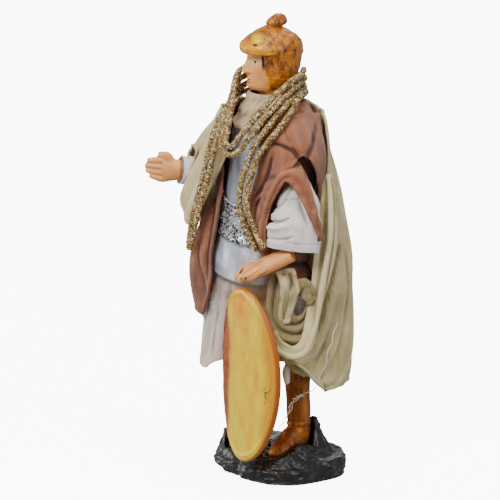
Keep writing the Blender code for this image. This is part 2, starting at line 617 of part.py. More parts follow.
def stole_route():
    """The long doubled cord: bare ends under the left hand, and its bight at the right hip."""
    line = NEAR_LINE + SHOULDER_LINE + NECK_LINE + FAR_SHOULDER_LINE + FAR_LINE
    inner, outer = strand(line, 0.5), strand(line, 1.5)
    middle = (inner[-1] + outer[-1]) / 2
    bight = middle + (inner[-1] - inner[-2] + outer[-1] - outer[-2]) * 0.40
    return np.array([*inner, bight, *outer[::-1]])


def necklace_route():
    """The short cord, wound twice: both turns cross the breast, and its ends are behind the neck."""
    turn = NECK_LINE[2:] + FAR_SHOULDER_LINE + BREAST_LINE + SHOULDER_LINE + NECK_LINE[:2]
    first, second = strand(turn, -0.5), strand(turn, -1.5)
    return np.array([*first, *second[:-1]])


def clear_of_head(points):
    """Points of a cord round the neck, moved out level where they would come too close to the head."""
    away = np.linalg.norm(points[:, :2], axis=1)
    reach = 0.40 * HEAD_HEIGHT + GAP + CORD_DIAMETER / 2
    short = smoothstep((points[:, 2] - CHIN_Z - 0.0020) / 0.0020) * np.maximum(reach - away, 0)
    points[:, :2] *= (1 + short / away)[:, None]
    return points


def cord(name, route):
    """A cord as a tube of its own diameter, a point every two and a half diameters, with filled ends."""
    fine = clear_of_head(outside_coat(evenly(route, 60 * len(route)), GAP + CORD_DIAMETER * 0.5 + FACET))
    length = np.concatenate([[0], np.cumsum(np.linalg.norm(np.diff(fine, axis=0), axis=1))])
    count = int(length[-1] / (2.5 * CORD_DIAMETER)) + 1
    spots = np.linspace(0, length[-1], count)
    points = np.stack([np.interp(spots, length, fine[:, axis]) for axis in range(3)], axis=-1)
    curve = bpy.data.curves.new(name, "CURVE")
    curve.dimensions = "3D"
    curve.bevel_depth = CORD_DIAMETER / 2
    curve.bevel_resolution = 2
    curve.render_resolution_u = 0
    curve.use_fill_caps = True
    line = curve.splines.new("POLY")
    line.points.add(count - 1)
    rows = np.concatenate([points, np.ones((count, 1))], axis=1)
    line.points.foreach_set("co", rows.astype(np.float32).ravel())
    curve.materials.append(paint(name + "_lurex", (0.70, 0.50, 0.22), 0.3, 0.8))
    tube = bpy.data.objects.new(name, curve)
    bpy.context.scene.collection.objects.link(tube)
    return tube


# Head and helmet, cast in one, as shares of the head's height: height, half width, depth in front and behind.

HEAD_TURN = -25
HEAD_CENTRE = np.array([-0.0002, 0.0000, 0.0])
HEAD = [
    (-0.30, 0.20, 0.17, 0.25),
    (-0.04, 0.22, 0.20, 0.28),
    (0.01, 0.24, 0.34, 0.29),
    (0.07, 0.27, 0.39, 0.31),
    (0.18, 0.31, 0.395, 0.345),
    (0.30, 0.33, 0.395, 0.39),
    (0.42, 0.345, 0.395, 0.425),
    (0.53, 0.35, 0.385, 0.44),
    (0.62, 0.36, 0.40, 0.455),
    (0.72, 0.36, 0.40, 0.445),
    (0.84, 0.31, 0.34, 0.38),
    (0.94, 0.21, 0.23, 0.25),
    (1.00, 0.12, 0.13, 0.14),
]


def head_surface(degrees, share):
    """Points of the head at a direction from the face and a share of its height.

    The skull is an oval profile. A nose, brow, eye hollows, lips and chin are small bells on it, and the
    helmet stands proud of it above the brow, over the ears and behind, with a brim over the face.
    """
    degrees, share = np.broadcast_arrays(degrees, share)
    place = np.interp(share, [row[0] for row in HEAD], np.arange(len(HEAD)))
    values = through(HEAD, place)
    away = facing(degrees)
    depth = np.where(away[..., 1] < 0, values[..., 2], values[..., 3])
    radius = values[..., 1] * depth / np.hypot(values[..., 1] * away[..., 1], depth * away[..., 0])
    nose = 0.085 * bump(degrees, 0, 9) * bump(share, 0.37, 0.07)
    nose = nose + 0.04 * bump(degrees, 0, 8) * bump(share, 0.48, 0.08)
    eyes = -0.022 * (bump(degrees, 26, 12) + bump(degrees, -26, 12)) * bump(share, 0.52, 0.05)
    lips = 0.016 * bump(degrees, 0, 16) * bump(share, 0.20, 0.045)
    chin = 0.020 * bump(degrees, 0, 18) * bump(share, 0.07, 0.06)
    opening = smoothstep((np.abs(degrees) - 50 - 14 * (0.55 - share)) / 8)
    guard = smoothstep((share - 0.02 - 0.16 * smoothstep((np.abs(degrees) - 90) / 40)) / 0.05)
    above = smoothstep((share - 0.585) / 0.03)
    brim = 0.060 * bump(share, 0.73, 0.13) * smoothstep((80 - np.abs(degrees)) / 40)
    helmet = np.maximum(opening * guard, above) * 0.050 * smoothstep((1.06 - share) / 0.3) + brim * above
    return away, radius + nose + eyes + lips + chin + helmet


def head():
    """The terracotta head in its helmet, with its neck and the fluted knob on top."""
    degrees = angles(-180, 180, 27)[:-1][None, :]
    neck_and_face = [-0.30, -0.04, 0.0, 0.05, 0.12, 0.20, 0.27, 0.33, 0.39, 0.46, 0.53, 0.58]
    share = np.array([*neck_and_face, 0.62, 0.68, 0.75, 0.83, 0.90, 0.96, 1.0])
    away, radius = head_surface(degrees, share[:, None])
    rings = away * (radius * HEAD_HEIGHT)[..., None]
    rings[..., 2] = (CHIN_Z + share * HEAD_HEIGHT)[:, None]
    flutes = 1 + 0.10 * np.cos(np.radians(degrees[0] * 5))
    knob = [(0.0022, 0.02), (0.0026, 0.25), (0.0021, 0.65), (0.0009, 1.0)]
    for radius, height in knob:
        ring = facing(degrees[0]) * (radius * flutes)[:, None]
        ring[:, 1] += 0.0008
        ring[:, 2] = CROWN_Z + height * KNOB_HEIGHT
        rings = np.concatenate([rings, ring[None]])
    rings = rings @ turned(math.radians(HEAD_TURN)).T + HEAD_CENTRE
    rings[0, :, 2] = COLLAR_Z + GAP
    return add_loft("head", rings, paint("head_paint", (0.62, 0.33, 0.12), 0.45))


# Legs, base and shield

LEFT_FOOT = (0.0080, 0.0014)
RIGHT_FOOT = (-0.0052, -0.0006)
LEFT_TURN, RIGHT_TURN = 4, 4
FOOT_LENGTH = 0.0165
BOOT = [
    (-0.60, 0.10, 90, 0.0016, 0.0010),
    (-0.46, 0.15, 86, 0.0029, 0.0022),
    (-0.26, 0.18, 72, 0.0032, 0.0032),
    (-0.06, 0.26, 48, 0.0031, 0.0044),
    (0.06, 0.40, 24, 0.0030, 0.0040),
    (0.06, 0.66, 6, 0.0031, 0.0035),
    (0.04, 1.15, 0, 0.0034, 0.0036),
    (0.02, 1.70, 0, 0.0035, 0.0036),
    (0.00, 2.20, 0, 0.0034, 0.0034),
]


def boot(name, foot, turn, grow, material):
    """A tall painted boot and the leg above it. One that is grown cuts the socket of the boot in the rock."""
    rows = evenly(BOOT, 13)
    around = np.linspace(0, 2 * math.pi, 12, endpoint=False)
    rings = []
    for forward, height, tilt, wide, deep in rows:
        slope = math.radians(tilt)
        x = np.cos(around) * wide
        y = forward * FOOT_LENGTH - np.sin(around) * deep * math.cos(slope)
        z = height * FOOT_LENGTH + np.sin(around) * deep * math.sin(slope)
        rings.append(np.stack([x, y, np.maximum(z, 0)], axis=-1))
    top = rings[-1].copy()
    top[:, :2] += np.array(HIP_LEAN)
    top[:, 2] = HIP_Z - GAP - BOOT_GROUND_Z
    rings = np.array([*rings, top])
    spin = turned(math.radians(turn))
    leg = add_loft(name, rings @ spin.T + np.array([*foot, BOOT_GROUND_Z]), material)
    if grow:
        for vertex in leg.data.vertices:
            vertex.co += vertex.normal * grow
        leg.hide_render = True
        leg.display_type = "WIRE"
    return leg


BASE_CONTACT = [0.0112, 0.0142, 0.0158, 0.0163, 0.0184, 0.0175, 0.0155, 0.0155, 0.0170, 0.0178, 0.0128,
                0.0106]
BASE_WIDEST = [0.0158, 0.0190, 0.0180, 0.0172, 0.0190, 0.0184, 0.0168, 0.0170, 0.0184, 0.0192, 0.0182,
               0.0164]
BASE_CENTRE = np.array([0.0015, 0.0010, 0.0])


def rock_top(x, y):
    """The height of the rock: flat under the boots, a hill behind the left one, a lump beside the right."""
    hill = 0.0086 * np.exp(-(((x - 0.0090) / 0.0050) ** 2 + ((y - 0.0074) / 0.0044) ** 2))
    ridge = 0.0040 * np.exp(-(((x - 0.0132) / 0.0030) ** 2 + ((y + 0.0015) / 0.0070) ** 2))
    lump = 0.0050 * np.exp(-(((x + 0.0100) / 0.0046) ** 2 + ((y + 0.0098) / 0.0050) ** 2))
    return ROCK_TOP_Z + np.maximum(np.maximum(hill, ridge), lump)


def base():
    """The rock that the boots are set in: one flat-bottomed cast lump, undercut at its edge."""
    count = 28
    places = np.linspace(0, len(BASE_CONTACT), count, endpoint=False)
    contact = through([*BASE_CONTACT, BASE_CONTACT[0]], places)
    widest = through([*BASE_WIDEST, BASE_WIDEST[0]], places)
    degrees = places * 360 / len(BASE_CONTACT)
    rough = 0.0003 * np.cos(np.radians(degrees * 9)) + 0.0002 * np.cos(np.radians(degrees * 14) + 1)
    away = facing(degrees)
    rings = [away * contact[:, None]]
    for share, height in ((0.97, 0.0016), (1.0, 0.0036), (0.96, 0.0056)):
        ring = away * (widest * share + rough)[:, None]
        ring[:, 2] = height
        rings.append(ring)
    for share in (0.86, 0.72, 0.56, 0.38, 0.18):
        ring = away * (widest * share)[:, None]
        spot = ring + BASE_CENTRE
        worn = 0.0030 * smoothstep((share - 0.5) / 0.3) * bump(degrees, 135, 50)
        ring[:, 2] = rock_top(spot[:, 0], spot[:, 1]) - worn
        rings.append(ring)
    black = paint("black_rock", (0.035, 0.030, 0.028), 0.5)
    return add_loft("base", np.array(rings) + BASE_CENTRE, black, smooth=False)


def set_in_rock(rock, foot, turn, name):
    """Cuts the socket of one boot into the rock."""
    cut = rock.modifiers.new(name, "BOOLEAN")
    cut.operation = "DIFFERENCE"
    cut.object = boot(name, foot, turn, 1.5 * GAP, rock.data.materials[0])


def shield():
    """The oval gilt shield, bowed about its upright middle, standing on the rock."""
    count = 32
    around = np.linspace(0, 2 * math.pi, count, endpoint=False)
    rings = []
    for share, front in ((0.45, False), (0.94, False), (1.0, True), (0.94, True), (0.62, True), (0.30, True)):
        across = np.sin(around) * share
        bow = SHIELD_BULGE * (1 - across**2)
        offset = -bow - (SHIELD_THICKNESS if front else 0.0)
        if share == 1.0:
            offset = offset + SHIELD_THICKNESS * 0.5
        up = np.cos(around) * share * SHIELD_HEIGHT / 2
        rings.append(np.stack([across * SHIELD_WIDTH / 2, offset, up], axis=-1))
    spin = turned(SHIELD_TURN)
    place = np.array([*SHIELD_CENTRE, SHIELD_FOOT_Z + SHIELD_HEIGHT / 2])
    gilt = paint("gilt_paint", (0.75, 0.42, 0.10), 0.35, 0.4)
    return add_loft("shield", np.array(rings) @ spin.T + place, gilt)


def main():
    for item in list(bpy.data.objects):
        bpy.data.objects.remove(item)
    rock = base()
    boot("boot_left", LEFT_FOOT, LEFT_TURN, 0.0, paint("boot_gold_left", (0.42, 0.20, 0.06), 0.4, 0.3))
    boot("boot_right", RIGHT_FOOT, RIGHT_TURN, 0.0, paint("boot_gold_right", (0.42, 0.20, 0.06), 0.4, 0.3))
    set_in_rock(rock, LEFT_FOOT, LEFT_TURN, "socket_left")
    set_in_rock(rock, RIGHT_FOOT, RIGHT_TURN, "socket_right")
    shield()
    tunic()
    belt()
    skirt()
    scarf()
    head()
    coat()
    coat_sleeve("coat_sleeve_left", LEFT_SLEEVE)
    coat_sleeve("coat_sleeve_right", RIGHT_SLEEVE)
    cape()
    cord("gold_cord_stole", stole_route())
    cord("gold_cord_necklace", necklace_route())
    shirt_sleeves()
    hands()


main()
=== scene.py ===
# Nativity soldier figurine: the finish of every piece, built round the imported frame. Metres, +Z up.
# The figure faces -Y, its left side is at +X, and it stands on the floor at height 0.
import math

import bmesh
import bpy
import numpy as np
from mathutils import Matrix


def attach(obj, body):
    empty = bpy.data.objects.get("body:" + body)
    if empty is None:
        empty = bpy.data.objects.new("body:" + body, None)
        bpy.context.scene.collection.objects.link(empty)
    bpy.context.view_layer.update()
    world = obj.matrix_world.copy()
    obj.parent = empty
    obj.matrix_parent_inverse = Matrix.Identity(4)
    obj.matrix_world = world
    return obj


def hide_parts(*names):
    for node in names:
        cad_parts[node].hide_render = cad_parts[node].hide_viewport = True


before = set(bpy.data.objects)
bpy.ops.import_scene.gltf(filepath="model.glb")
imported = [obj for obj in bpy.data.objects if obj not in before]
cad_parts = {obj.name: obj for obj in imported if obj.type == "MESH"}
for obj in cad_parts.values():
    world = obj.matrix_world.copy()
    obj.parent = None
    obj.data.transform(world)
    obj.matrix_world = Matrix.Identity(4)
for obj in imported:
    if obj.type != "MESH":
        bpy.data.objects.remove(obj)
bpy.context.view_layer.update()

# The studio: a pale floor, soft lights and a camera at the photograph's angle, left of the figure's front.
# The lens is long, because the photograph shows almost no perspective.

AZIMUTH = math.radians(45)
ELEVATION = math.radians(14)
CAMERA_DISTANCE = 1.5
SENSOR = 36.0
PICTURE = 500  # pixels along each side of the photograph
PIXEL = 0.000274  # metres on the figure for one pixel of the photograph
ORIGIN_PIXEL = (272.0, 472.0)  # where the middle of the underside lies in the photograph
NEARER = 0.015  # how far the figure's front stands before the plane in which a pixel is measured
MIDDLE = (0.0, 0.0, 0.06)  # what the lights are aimed at

RIGHT = np.array([math.cos(AZIMUTH), math.sin(AZIMUTH), 0.0])
TOWARDS = np.array([math.sin(AZIMUTH), -math.cos(AZIMUTH), 0.0])
UPRIGHT = np.array([0.0, 0.0, 1.0])
TO_CAMERA = TOWARDS * math.cos(ELEVATION) + UPRIGHT * math.sin(ELEVATION)
UP = np.cross(TO_CAMERA, RIGHT)


def in_picture(points):
    """The pixels of the photograph where points are seen: right . p and - up . p, from the origin's pixel."""
    return ORIGIN_PIXEL[0] + points @ RIGHT / PIXEL, ORIGIN_PIXEL[1] - points @ UP / PIXEL


def corner(across, towards, height):
    """The point that far to the photograph's right, level towards its camera, and up."""
    across, towards, height = (np.asarray(part, float)[..., None] for part in (across, towards, height))
    return RIGHT * across + TOWARDS * towards + UPRIGHT * height


def from_picture(x, y, depth):
    """The point that is seen at a pixel and lies that far towards the camera, measured level."""
    x, y, depth = np.broadcast_arrays(np.asarray(x, float), np.asarray(y, float), np.asarray(depth, float))
    height = ((ORIGIN_PIXEL[1] - y) * PIXEL + depth * math.sin(ELEVATION)) / math.cos(ELEVATION)
    return corner((x - ORIGIN_PIXEL[0]) * PIXEL, depth, height)


def look(thing, place, target):
    """Puts a camera or a light at a place, facing a target: its -Z axis runs along the line of sight."""
    back = np.array(place) - np.array(target)
    back /= np.linalg.norm(back)
    side = np.cross((0.0, 0.0, 1.0), back)
    side /= np.linalg.norm(side)
    over = np.cross(back, side)
    rows = [[side[k], over[k], back[k], place[k]] for k in range(3)]
    thing.matrix_world = Matrix([*rows, [0, 0, 0, 1]])
    bpy.context.scene.collection.objects.link(thing)


centre = RIGHT * (PICTURE / 2 - ORIGIN_PIXEL[0]) * PIXEL + UP * (ORIGIN_PIXEL[1] - PICTURE / 2) * PIXEL
lens = bpy.data.cameras.new("camera")
lens.sensor_width = SENSOR
lens.lens = SENSOR * (CAMERA_DISTANCE - NEARER) / (PICTURE * PIXEL)
camera = bpy.data.objects.new("camera", lens)
look(camera, centre + TO_CAMERA * CAMERA_DISTANCE, centre)
bpy.context.scene.camera = camera

# A light: its bearing from the front, as the camera's, its height angle, its size in metres and its watts.
LIGHTS = {
    "key": (14, 44, 0.34, 6.4),
    "fill": (88, 30, 0.60, 2.4),
    "top": (60, 80, 0.40, 2.6),
    "back": (215, 40, 0.60, 2.0),
    "side": (-58, 8, 0.50, 3.2),
}
LIGHT_DISTANCE = 0.9
for name, (bearing, height, size, power) in LIGHTS.items():
    lamp = bpy.data.lights.new(name, "AREA")
    lamp.shape = "DISK"
    lamp.size = size
    lamp.energy = power
    turn, rise = math.radians(bearing), math.radians(height)
    way = np.array([math.sin(turn) * math.cos(rise), -math.cos(turn) * math.cos(rise), math.sin(rise)])
    look(bpy.data.objects.new(name, lamp), way * LIGHT_DISTANCE + MIDDLE, MIDDLE)

world = bpy.data.worlds.new("studio")
world.use_nodes = True
world.node_tree.nodes["Background"].inputs["Color"].default_value = (1.0, 1.0, 1.0, 1.0)
world.node_tree.nodes["Background"].inputs["Strength"].default_value = 0.42
bpy.context.scene.world = world


STRONGER = 1.48  # how much a colour is moved away from grey, because the bright studio pales it
DEEPER = 1.15


def tint(red, green, blue):
    """A colour as a screen shows it, 0 to 255, in linear values: moved away from grey, and deepened."""
    share = np.array([red, green, blue]) / 255
    linear = np.where(share < 0.04045, share / 12.92, ((share + 0.055) / 1.055) ** 2.4)
    strong = linear.mean() + (linear - linear.mean()) * STRONGER
    return tuple(np.clip(strong, 0.003, 0.94) ** DEEPER)


class Wire:
    """One value of a material. Sums, products and powers of wires and numbers add the Math nodes for them."""

    def __init__(self, finish, socket):
        self.finish = finish
        self.socket = socket

    def math(self, operation, *values):
        return self.finish.node("ShaderNodeMath", {"operation": operation}, values)

    def __add__(self, other):
        return self.math("ADD", self, other)

    def __radd__(self, other):
        return self.math("ADD", other, self)

    def __sub__(self, other):
        return self.math("SUBTRACT", self, other)

    def __rsub__(self, other):
        return self.math("SUBTRACT", other, self)

    def __mul__(self, other):
        return self.math("MULTIPLY", self, other)

    def __rmul__(self, other):
        return self.math("MULTIPLY", other, self)

    def __truediv__(self, other):
        return self.math("DIVIDE", self, other)

    def __pow__(self, other):
        return self.math("POWER", self, other)

    def __abs__(self):
        return self.math("ABSOLUTE", self)

    def sine(self):
        return self.math("SINE", self)

    def wave(self):
        """(1 + sin x) / 2, from 0 to 1."""
        return 0.5 + 0.5 * self.sine()

    def least(self, other):
        return self.math("MINIMUM", self, other)

    def most(self, other):
        return self.math("MAXIMUM", self, other)

    def over(self, low, high):
        """0 at low and 1 at high, smooth between; low may be the larger."""
        values = {"Value": self, "From Min": low, "From Max": high}
        return self.finish.node("ShaderNodeMapRange", {"interpolation_type": "SMOOTHSTEP"}, values)

    def bell(self, middle, width):
        """A soft spot: 1 at the middle, 0 from one width away."""
        return abs(self - middle).over(width, 0.0)


class Finish:
    """A material of one Principled shader, with the nodes that feed it."""

    def __init__(self, name, roughness, constants=None):
        self.material = bpy.data.materials.new(name)
        self.material.use_nodes = True
        self.tree = self.material.node_tree
        self.shader = self.tree.nodes["Principled BSDF"]
        self.set(Roughness=roughness)
        for socket, value in (constants or {}).items():
            self.join(value, self.shader.inputs[socket])

    def set(self, **values):
        """Joins wires or values to the shader's inputs of those names."""
        for name, value in values.items():
            self.join(value, self.shader.inputs[name])

    def join(self, value, socket):
        """Links a wire to a socket, or sets its value; a colour of three numbers gets an alpha of 1."""
        if isinstance(value, Wire):
            self.tree.links.new(value.socket, socket)
        elif socket.type == "RGBA" and len(value) == 3:
            socket.default_value = (*value, 1.0)
        else:
            socket.default_value = value

    def node(self, kind, settings=None, values=(), output=0):
        """Adds a node with its settings, and the values or wires of its inputs; gives one output."""
        node = self.tree.nodes.new(kind)
        for name, value in (settings or {}).items():
            setattr(node, name, value)
        for key, value in values.items() if isinstance(values, dict) else enumerate(values):
            self.join(value, node.inputs[key])
        return Wire(self, node.outputs[output])

    def place(self):
        """Object coordinates, in metres."""
        return self.node("ShaderNodeTexCoord", output="Object")

    def cloth(self):
        """The piece's own map: across and along the cloth, in metres."""
        return self.node("ShaderNodeTexCoord", output="UV")

    def seen(self):
        """Where a point lies in the photograph, in its pixels, as in_picture gives it."""
        place, dot = self.place(), {"operation": "DOT_PRODUCT"}
        kind = "ShaderNodeVectorMath"
        level, upward = (self.node(kind, dot, (place, tuple(way)), "Value") for way in (RIGHT, UP))
        return ORIGIN_PIXEL[0] + level * (1 / PIXEL), ORIGIN_PIXEL[1] - upward * (1 / PIXEL)

    def split(self, vector):
        node = self.node("ShaderNodeSeparateXYZ", None, (vector,)).socket.node
        return [Wire(self, socket) for socket in node.outputs]

    def stretched(self, vector, scale):
        return self.node("ShaderNodeMapping", None, {"Vector": vector, "Scale": scale})

    def noise(self, vector, size, detail=3.0, roughness=0.55):
        """Cloudy noise from 0 to 1 whose blots are about that size, in metres."""
        values = {"Vector": vector, "Scale": 1 / size, "Detail": detail, "Roughness": roughness}
        return self.node("ShaderNodeTexNoise", None, values)

    def cells(self, vector, size, output="Color"):
        """Random values by cell, each cell about that size."""
        return self.node("ShaderNodeTexVoronoi", None, {"Vector": vector, "Scale": 1 / size}, output)

    def mix(self, share, first, second):
        node = self.tree.nodes.new("ShaderNodeMix")
        node.data_type = "RGBA"
        for key, value in ((0, share), (6, first), (7, second)):
            self.join(value, node.inputs[key])
        return Wire(self, node.outputs[2])

    def creased(self, colour, shade, light, depth=0.6):
        """Paints shade into the folds' hollows and a painted highlight on their crests, by the points'
        values.
        """
        painted_shading = self.node("ShaderNodeAttribute", {"attribute_name": "painted_shading"}, output="Fac")
        colour = self.mix(painted_shading.over(0.52, 1.0) * depth, colour, shade)
        return self.mix(painted_shading.over(0.46, 0.0) * 0.4, colour, light)

    def bump(self, height, depth):
        """Relief of that depth in metres, from a height of 0 to 1."""
        values = {"Height": height, "Distance": depth, "Strength": 1.0}
        self.join(self.node("ShaderNodeBump", None, values, "Normal"), self.shader.inputs["Normal"])

    def colour(self, value):
        self.join(value, self.shader.inputs["Base Color"])
        return self

    def layers(self, colour, *coats):
        """Lays coats of (share, red, green, blue) over a colour, one after another."""
        for share, *shade in coats:
            colour = self.mix(share, colour, tint(*shade))
        return colour


FLOOR_SIZE = 6.0
floor_mesh = bpy.data.meshes.new("floor")
half = FLOOR_SIZE / 2
sides = [(-half, -half, 0), (half, -half, 0), (half, half, 0), (-half, half, 0)]
floor_mesh.from_pydata(sides, [], [(0, 1, 2, 3)])
floor = bpy.data.objects.new("floor", floor_mesh)
bpy.context.scene.collection.objects.link(floor)
paper = Finish("floor_paper", 0.9, {"Emission Color": (1.0, 1.0, 1.0), "Emission Strength": 9.0})
floor_mesh.materials.append(paper.colour((0.92, 0.92, 0.92)).material)
floor.visible_diffuse = False  # the paper is bright, but it does not light the figure from below
floor.visible_glossy = False

# The base is one cast lump of plaster, painted glossy black-brown. Its high spots are rubbed, and fine
# scratches and orange specks show the body under the paint. The boots stand in shallow sockets in its top.

GAP = 0.0004
WELD = 1e-7  # points closer than this are one point
ROCK_TOP_Z = 0.0072
SOLE_Z = 0.0062
# Radius of the rock every 30 degrees from the front, in millimetres: where it stands on the floor and at
# its widest.
BASE_CONTACT = [11.2, 14.2, 15.8, 16.3, 18.4, 17.5, 15.5, 15.5, 17.0, 17.8, 12.8, 10.6]
BASE_WIDEST = [15.8, 19.0, 18.0, 17.2, 19.0, 18.4, 16.8, 17.0, 18.4, 19.2, 18.2, 16.4]
BASE_CENTRE = np.array([0.0015, 0.0010, 0.0])
# The hill behind the left boot, the ridge and the lump: height, x and its half width, y and its half width.
HILLS = [
    (0.0086, 0.0090, 0.0050, 0.0074, 0.0044),
    (0.0040, 0.0132, 0.0030, -0.0015, 0.0070),
    (0.0050, -0.0100, 0.0046, -0.0098, 0.0050),
]
SOLES = {"left": (0.0080, 0.0014), "right": (-0.0052, -0.0006)}
HEEL, TOE, SOLE_WIDTH = 0.0012, -0.0072, 0.0036
MM = 0.001


def smoothstep(x):
    """0 below 0, 1 above 1, and 3x^2 - 2x^3 between."""
    x = np.clip(x, 0.0, 1.0)
    return x * x * (3 - 2 * x)


def bump(x, centre, width):
    """A bell of height 1: exp(-((x - centre) / width)^2)."""
    return np.exp(-(((x - centre) / width) ** 2))


def bump_round(degrees, centre, width):
    """A bell of height 1 that goes on past 360 degrees."""
    return sum(bump(degrees, centre + turn, width) for turn in (-360, 0, 360))


def unit(vectors):
    """Vectors scaled to a length of 1."""
    return vectors / np.linalg.norm(vectors, axis=-1, keepdims=True)


def stacked(*parts):
    """Arrays brought to one shape and stacked along a last axis."""
    return np.stack(np.broadcast_arrays(*parts), axis=-1)


def through(keys, places):
    """The smooth (Catmull-Rom) curve through the keys, read at places from 0 to len(keys) - 1."""
    keys = np.asarray(keys, float)
    places = np.clip(np.asarray(places, float), 0, len(keys) - 1)
    low = np.minimum(places.astype(int), len(keys) - 2)
    part = (places - low).reshape(places.shape + (1,) * (keys.ndim - 1))
    first, last = 2 * keys[0] - keys[1], 2 * keys[-1] - keys[-2]
    padded = np.concatenate([first[None], keys, last[None]])
    a, b, c, d = (padded[low + k] for k in range(4))
    bend = (2 * a - 5 * b + 4 * c - d) * part**2 + (3 * b - a - 3 * c + d) * part**3
    return 0.5 * (2 * b + (c - a) * part + bend)


def evenly(keys, count):
    """count points on the smooth curve through the keys, the same number of steps apart along them."""
    return through(keys, np.linspace(0, len(keys) - 1, count))


def facing(degrees):
    """The level direction that many degrees from the front towards the figure's left: (sin, -cos, 0)."""
    angle = np.radians(degrees)
    return np.stack([np.sin(angle), -np.cos(angle), np.zeros_like(angle)], axis=-1)


def round_axis(degrees, radius, height):
    """Points that far from the upright axis, in a direction and at a height."""
    points = facing(degrees + 0 * radius) * radius[..., None]
    points[..., 2] = height
    return points


def grain(points, size, seed, count=14):
    """Smooth random relief from about -1 to 1: cosine waves of about that length in seeded directions."""
    dice = np.random.default_rng(seed)
    ways = dice.normal(size=(count, points.shape[-1]))
    ways *= (2 * np.pi / size * dice.uniform(0.7, 1.5, count) / np.linalg.norm(ways, axis=1))[:, None]
    return np.cos(points @ ways.T + dice.uniform(0, 2 * np.pi, count)).sum(-1) / math.sqrt(count)


def hand_over(piece, replaces):
    """Lets a piece ride on the figure, and tells which solids it stands for."""
    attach(piece, "root")
    if replaces:
        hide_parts(*replaces)
    return piece


def add_piece(name, points, faces, finish, slot, replaces=(), maps=None, painted_shading=None):
    """Adds one mesh, welds its seams, turns its faces outwards, and hands it over.

    maps holds a map position in metres for each point, for a pattern that follows the surface. The last
    values are painted shading, by how deep the point lies in a fold: a painted highlight at 0 on a crest, and
    painted shade at 1 deep in a fold.
    """
    mesh = bpy.data.meshes.new(name)
    mesh.from_pydata(np.asarray(points, float).reshape(-1, 3).tolist(), [], faces)
    if maps is not None:
        corners = np.empty(len(mesh.loops), np.int32)
        mesh.loops.foreach_get("vertex_index", corners)
        flat = np.asarray(maps, np.float32).reshape(-1, 2)[corners]
        mesh.uv_layers.new(name="cloth").data.foreach_set("uv", flat.ravel())
    if painted_shading is not None:
        values = mesh.attributes.new("painted_shading", "FLOAT", "POINT").data
        values.foreach_set("value", painted_shading.astype(np.float32).ravel())
    shape = bmesh.new()
    shape.from_mesh(mesh)
    bmesh.ops.remove_doubles(shape, verts=shape.verts, dist=WELD)
    bmesh.ops.recalc_face_normals(shape, faces=shape.faces)
    if shape.calc_volume(signed=True) < 0:
        bmesh.ops.reverse_faces(shape, faces=shape.faces)
    shape.to_mesh(mesh)
    shape.free()
    mesh.materials.append(finish.material)
    mesh.shade_smooth()
    piece = bpy.data.objects.new(name, mesh)
    bpy.context.scene.collection.objects.link(piece)
    return hand_over(piece, replaces)


def grid_faces(rows, columns, start=0):
    """Quads of a grid of points, row by row, that begins at index start."""
    index = start + np.arange(rows * columns).reshape(rows, columns)
    quads = np.stack([index[:-1, :-1], index[:-1, 1:], index[1:, 1:], index[1:, :-1]], axis=-1)
    return quads.reshape(-1, 4).tolist()


def capped(rings):
    """Rings with one more at each end that is drawn to the end's middle, so that they close the solid."""
    ends = [np.broadcast_to(ring[:-1].mean(0), (1, *ring.shape)) for ring in (rings[0], rings[-1])]
    return np.concatenate([ends[0], rings, ends[1]])


def add_turned(name, rings, finish, slot, replaces=(), maps=None, painted_shading=None):
    """A solid through rings whose last point repeats the first."""
    rings = capped(np.asarray(rings, float))
    pads = [part if part is None else np.concatenate([part[:1], part, part[-1:]]) for part in (maps, painted_shading)]
    return add_piece(name, rings, grid_faces(*rings.shape[:2]), finish, slot, replaces, *pads)


def rock_top(x, y):
    """Height of the rock: flat under the boots, and the highest of its hills elsewhere."""
    hills = [high * bump(x, mid_x, wide) * bump(y, mid_y, deep) for high, mid_x, wide, mid_y, deep in HILLS]
    return ROCK_TOP_Z + np.maximum.reduce(hills)


def sole_distance(x, y):
    """Level distance from the outline of the nearer sole, a long round-ended shape; negative inside it."""
    gaps = []
    for foot_x, foot_y in SOLES.values():
        along = np.clip(y - foot_y, TOE, HEEL)
        gaps.append(np.hypot(x - foot_x, y - foot_y - along) - SOLE_WIDTH)
    return np.minimum(*gaps)


degrees = np.linspace(0, 360, 161)
contact, widest = (MM * through([*ring, ring[0]], degrees / 30) for ring in (BASE_CONTACT, BASE_WIDEST))
away = facing(degrees)
keys = [away * (contact * share)[:, None] for share in (0.02, 0.5, 0.9, 1.0)]
for share, height in ((0.97, 0.0016), (1.0, 0.0036), (0.96, 0.0056)):
    keys.append(away * (widest * share)[:, None] + (0, 0, height))
for share in (0.86, 0.79, 0.72, 0.64, 0.56, 0.47, 0.38, 0.28, 0.18, 0.08, 0.01):
    ring = away * (widest * share)[:, None]
    spot = ring + BASE_CENTRE
    worn = 0.0030 * smoothstep((share - 0.5) / 0.3) * bump(degrees, 135, 50)
    ring[:, 2] = rock_top(spot[:, 0], spot[:, 1]) - worn
    keys.append(ring)
rings = evenly(np.array(keys), 110) + BASE_CENTRE
lumpy = sum(depth * grain(rings, size, seed) for depth, size, seed in
            ((0.00035, 0.0055, 1), (0.00016, 0.0021, 2), (0.00006, 0.0009, 3)))
ridged = 0.00030 * (0.5 - np.abs(grain(rings, 0.0042, 4)))
outward = rings - BASE_CENTRE - (0, 0, 0.004)
outward /= np.linalg.norm(outward, axis=-1, keepdims=True) + 1e-9
above = smoothstep(rings[..., 2:] / 0.0012)
rings = rings + outward * ((lumpy + ridged)[..., None] - 0.0002) * above
rings[..., 2] = np.maximum(rings[..., 2], 0)
near_sole = smoothstep(sole_distance(rings[..., 0], rings[..., 1]) / 0.0004)
on_top = rings[..., 2] > SOLE_Z - 0.0008
sunk = np.where(on_top, np.minimum(rings[..., 2], SOLE_Z - 0.0001), rings[..., 2])
rings[..., 2] = sunk + (rings[..., 2] - sunk) * near_sole

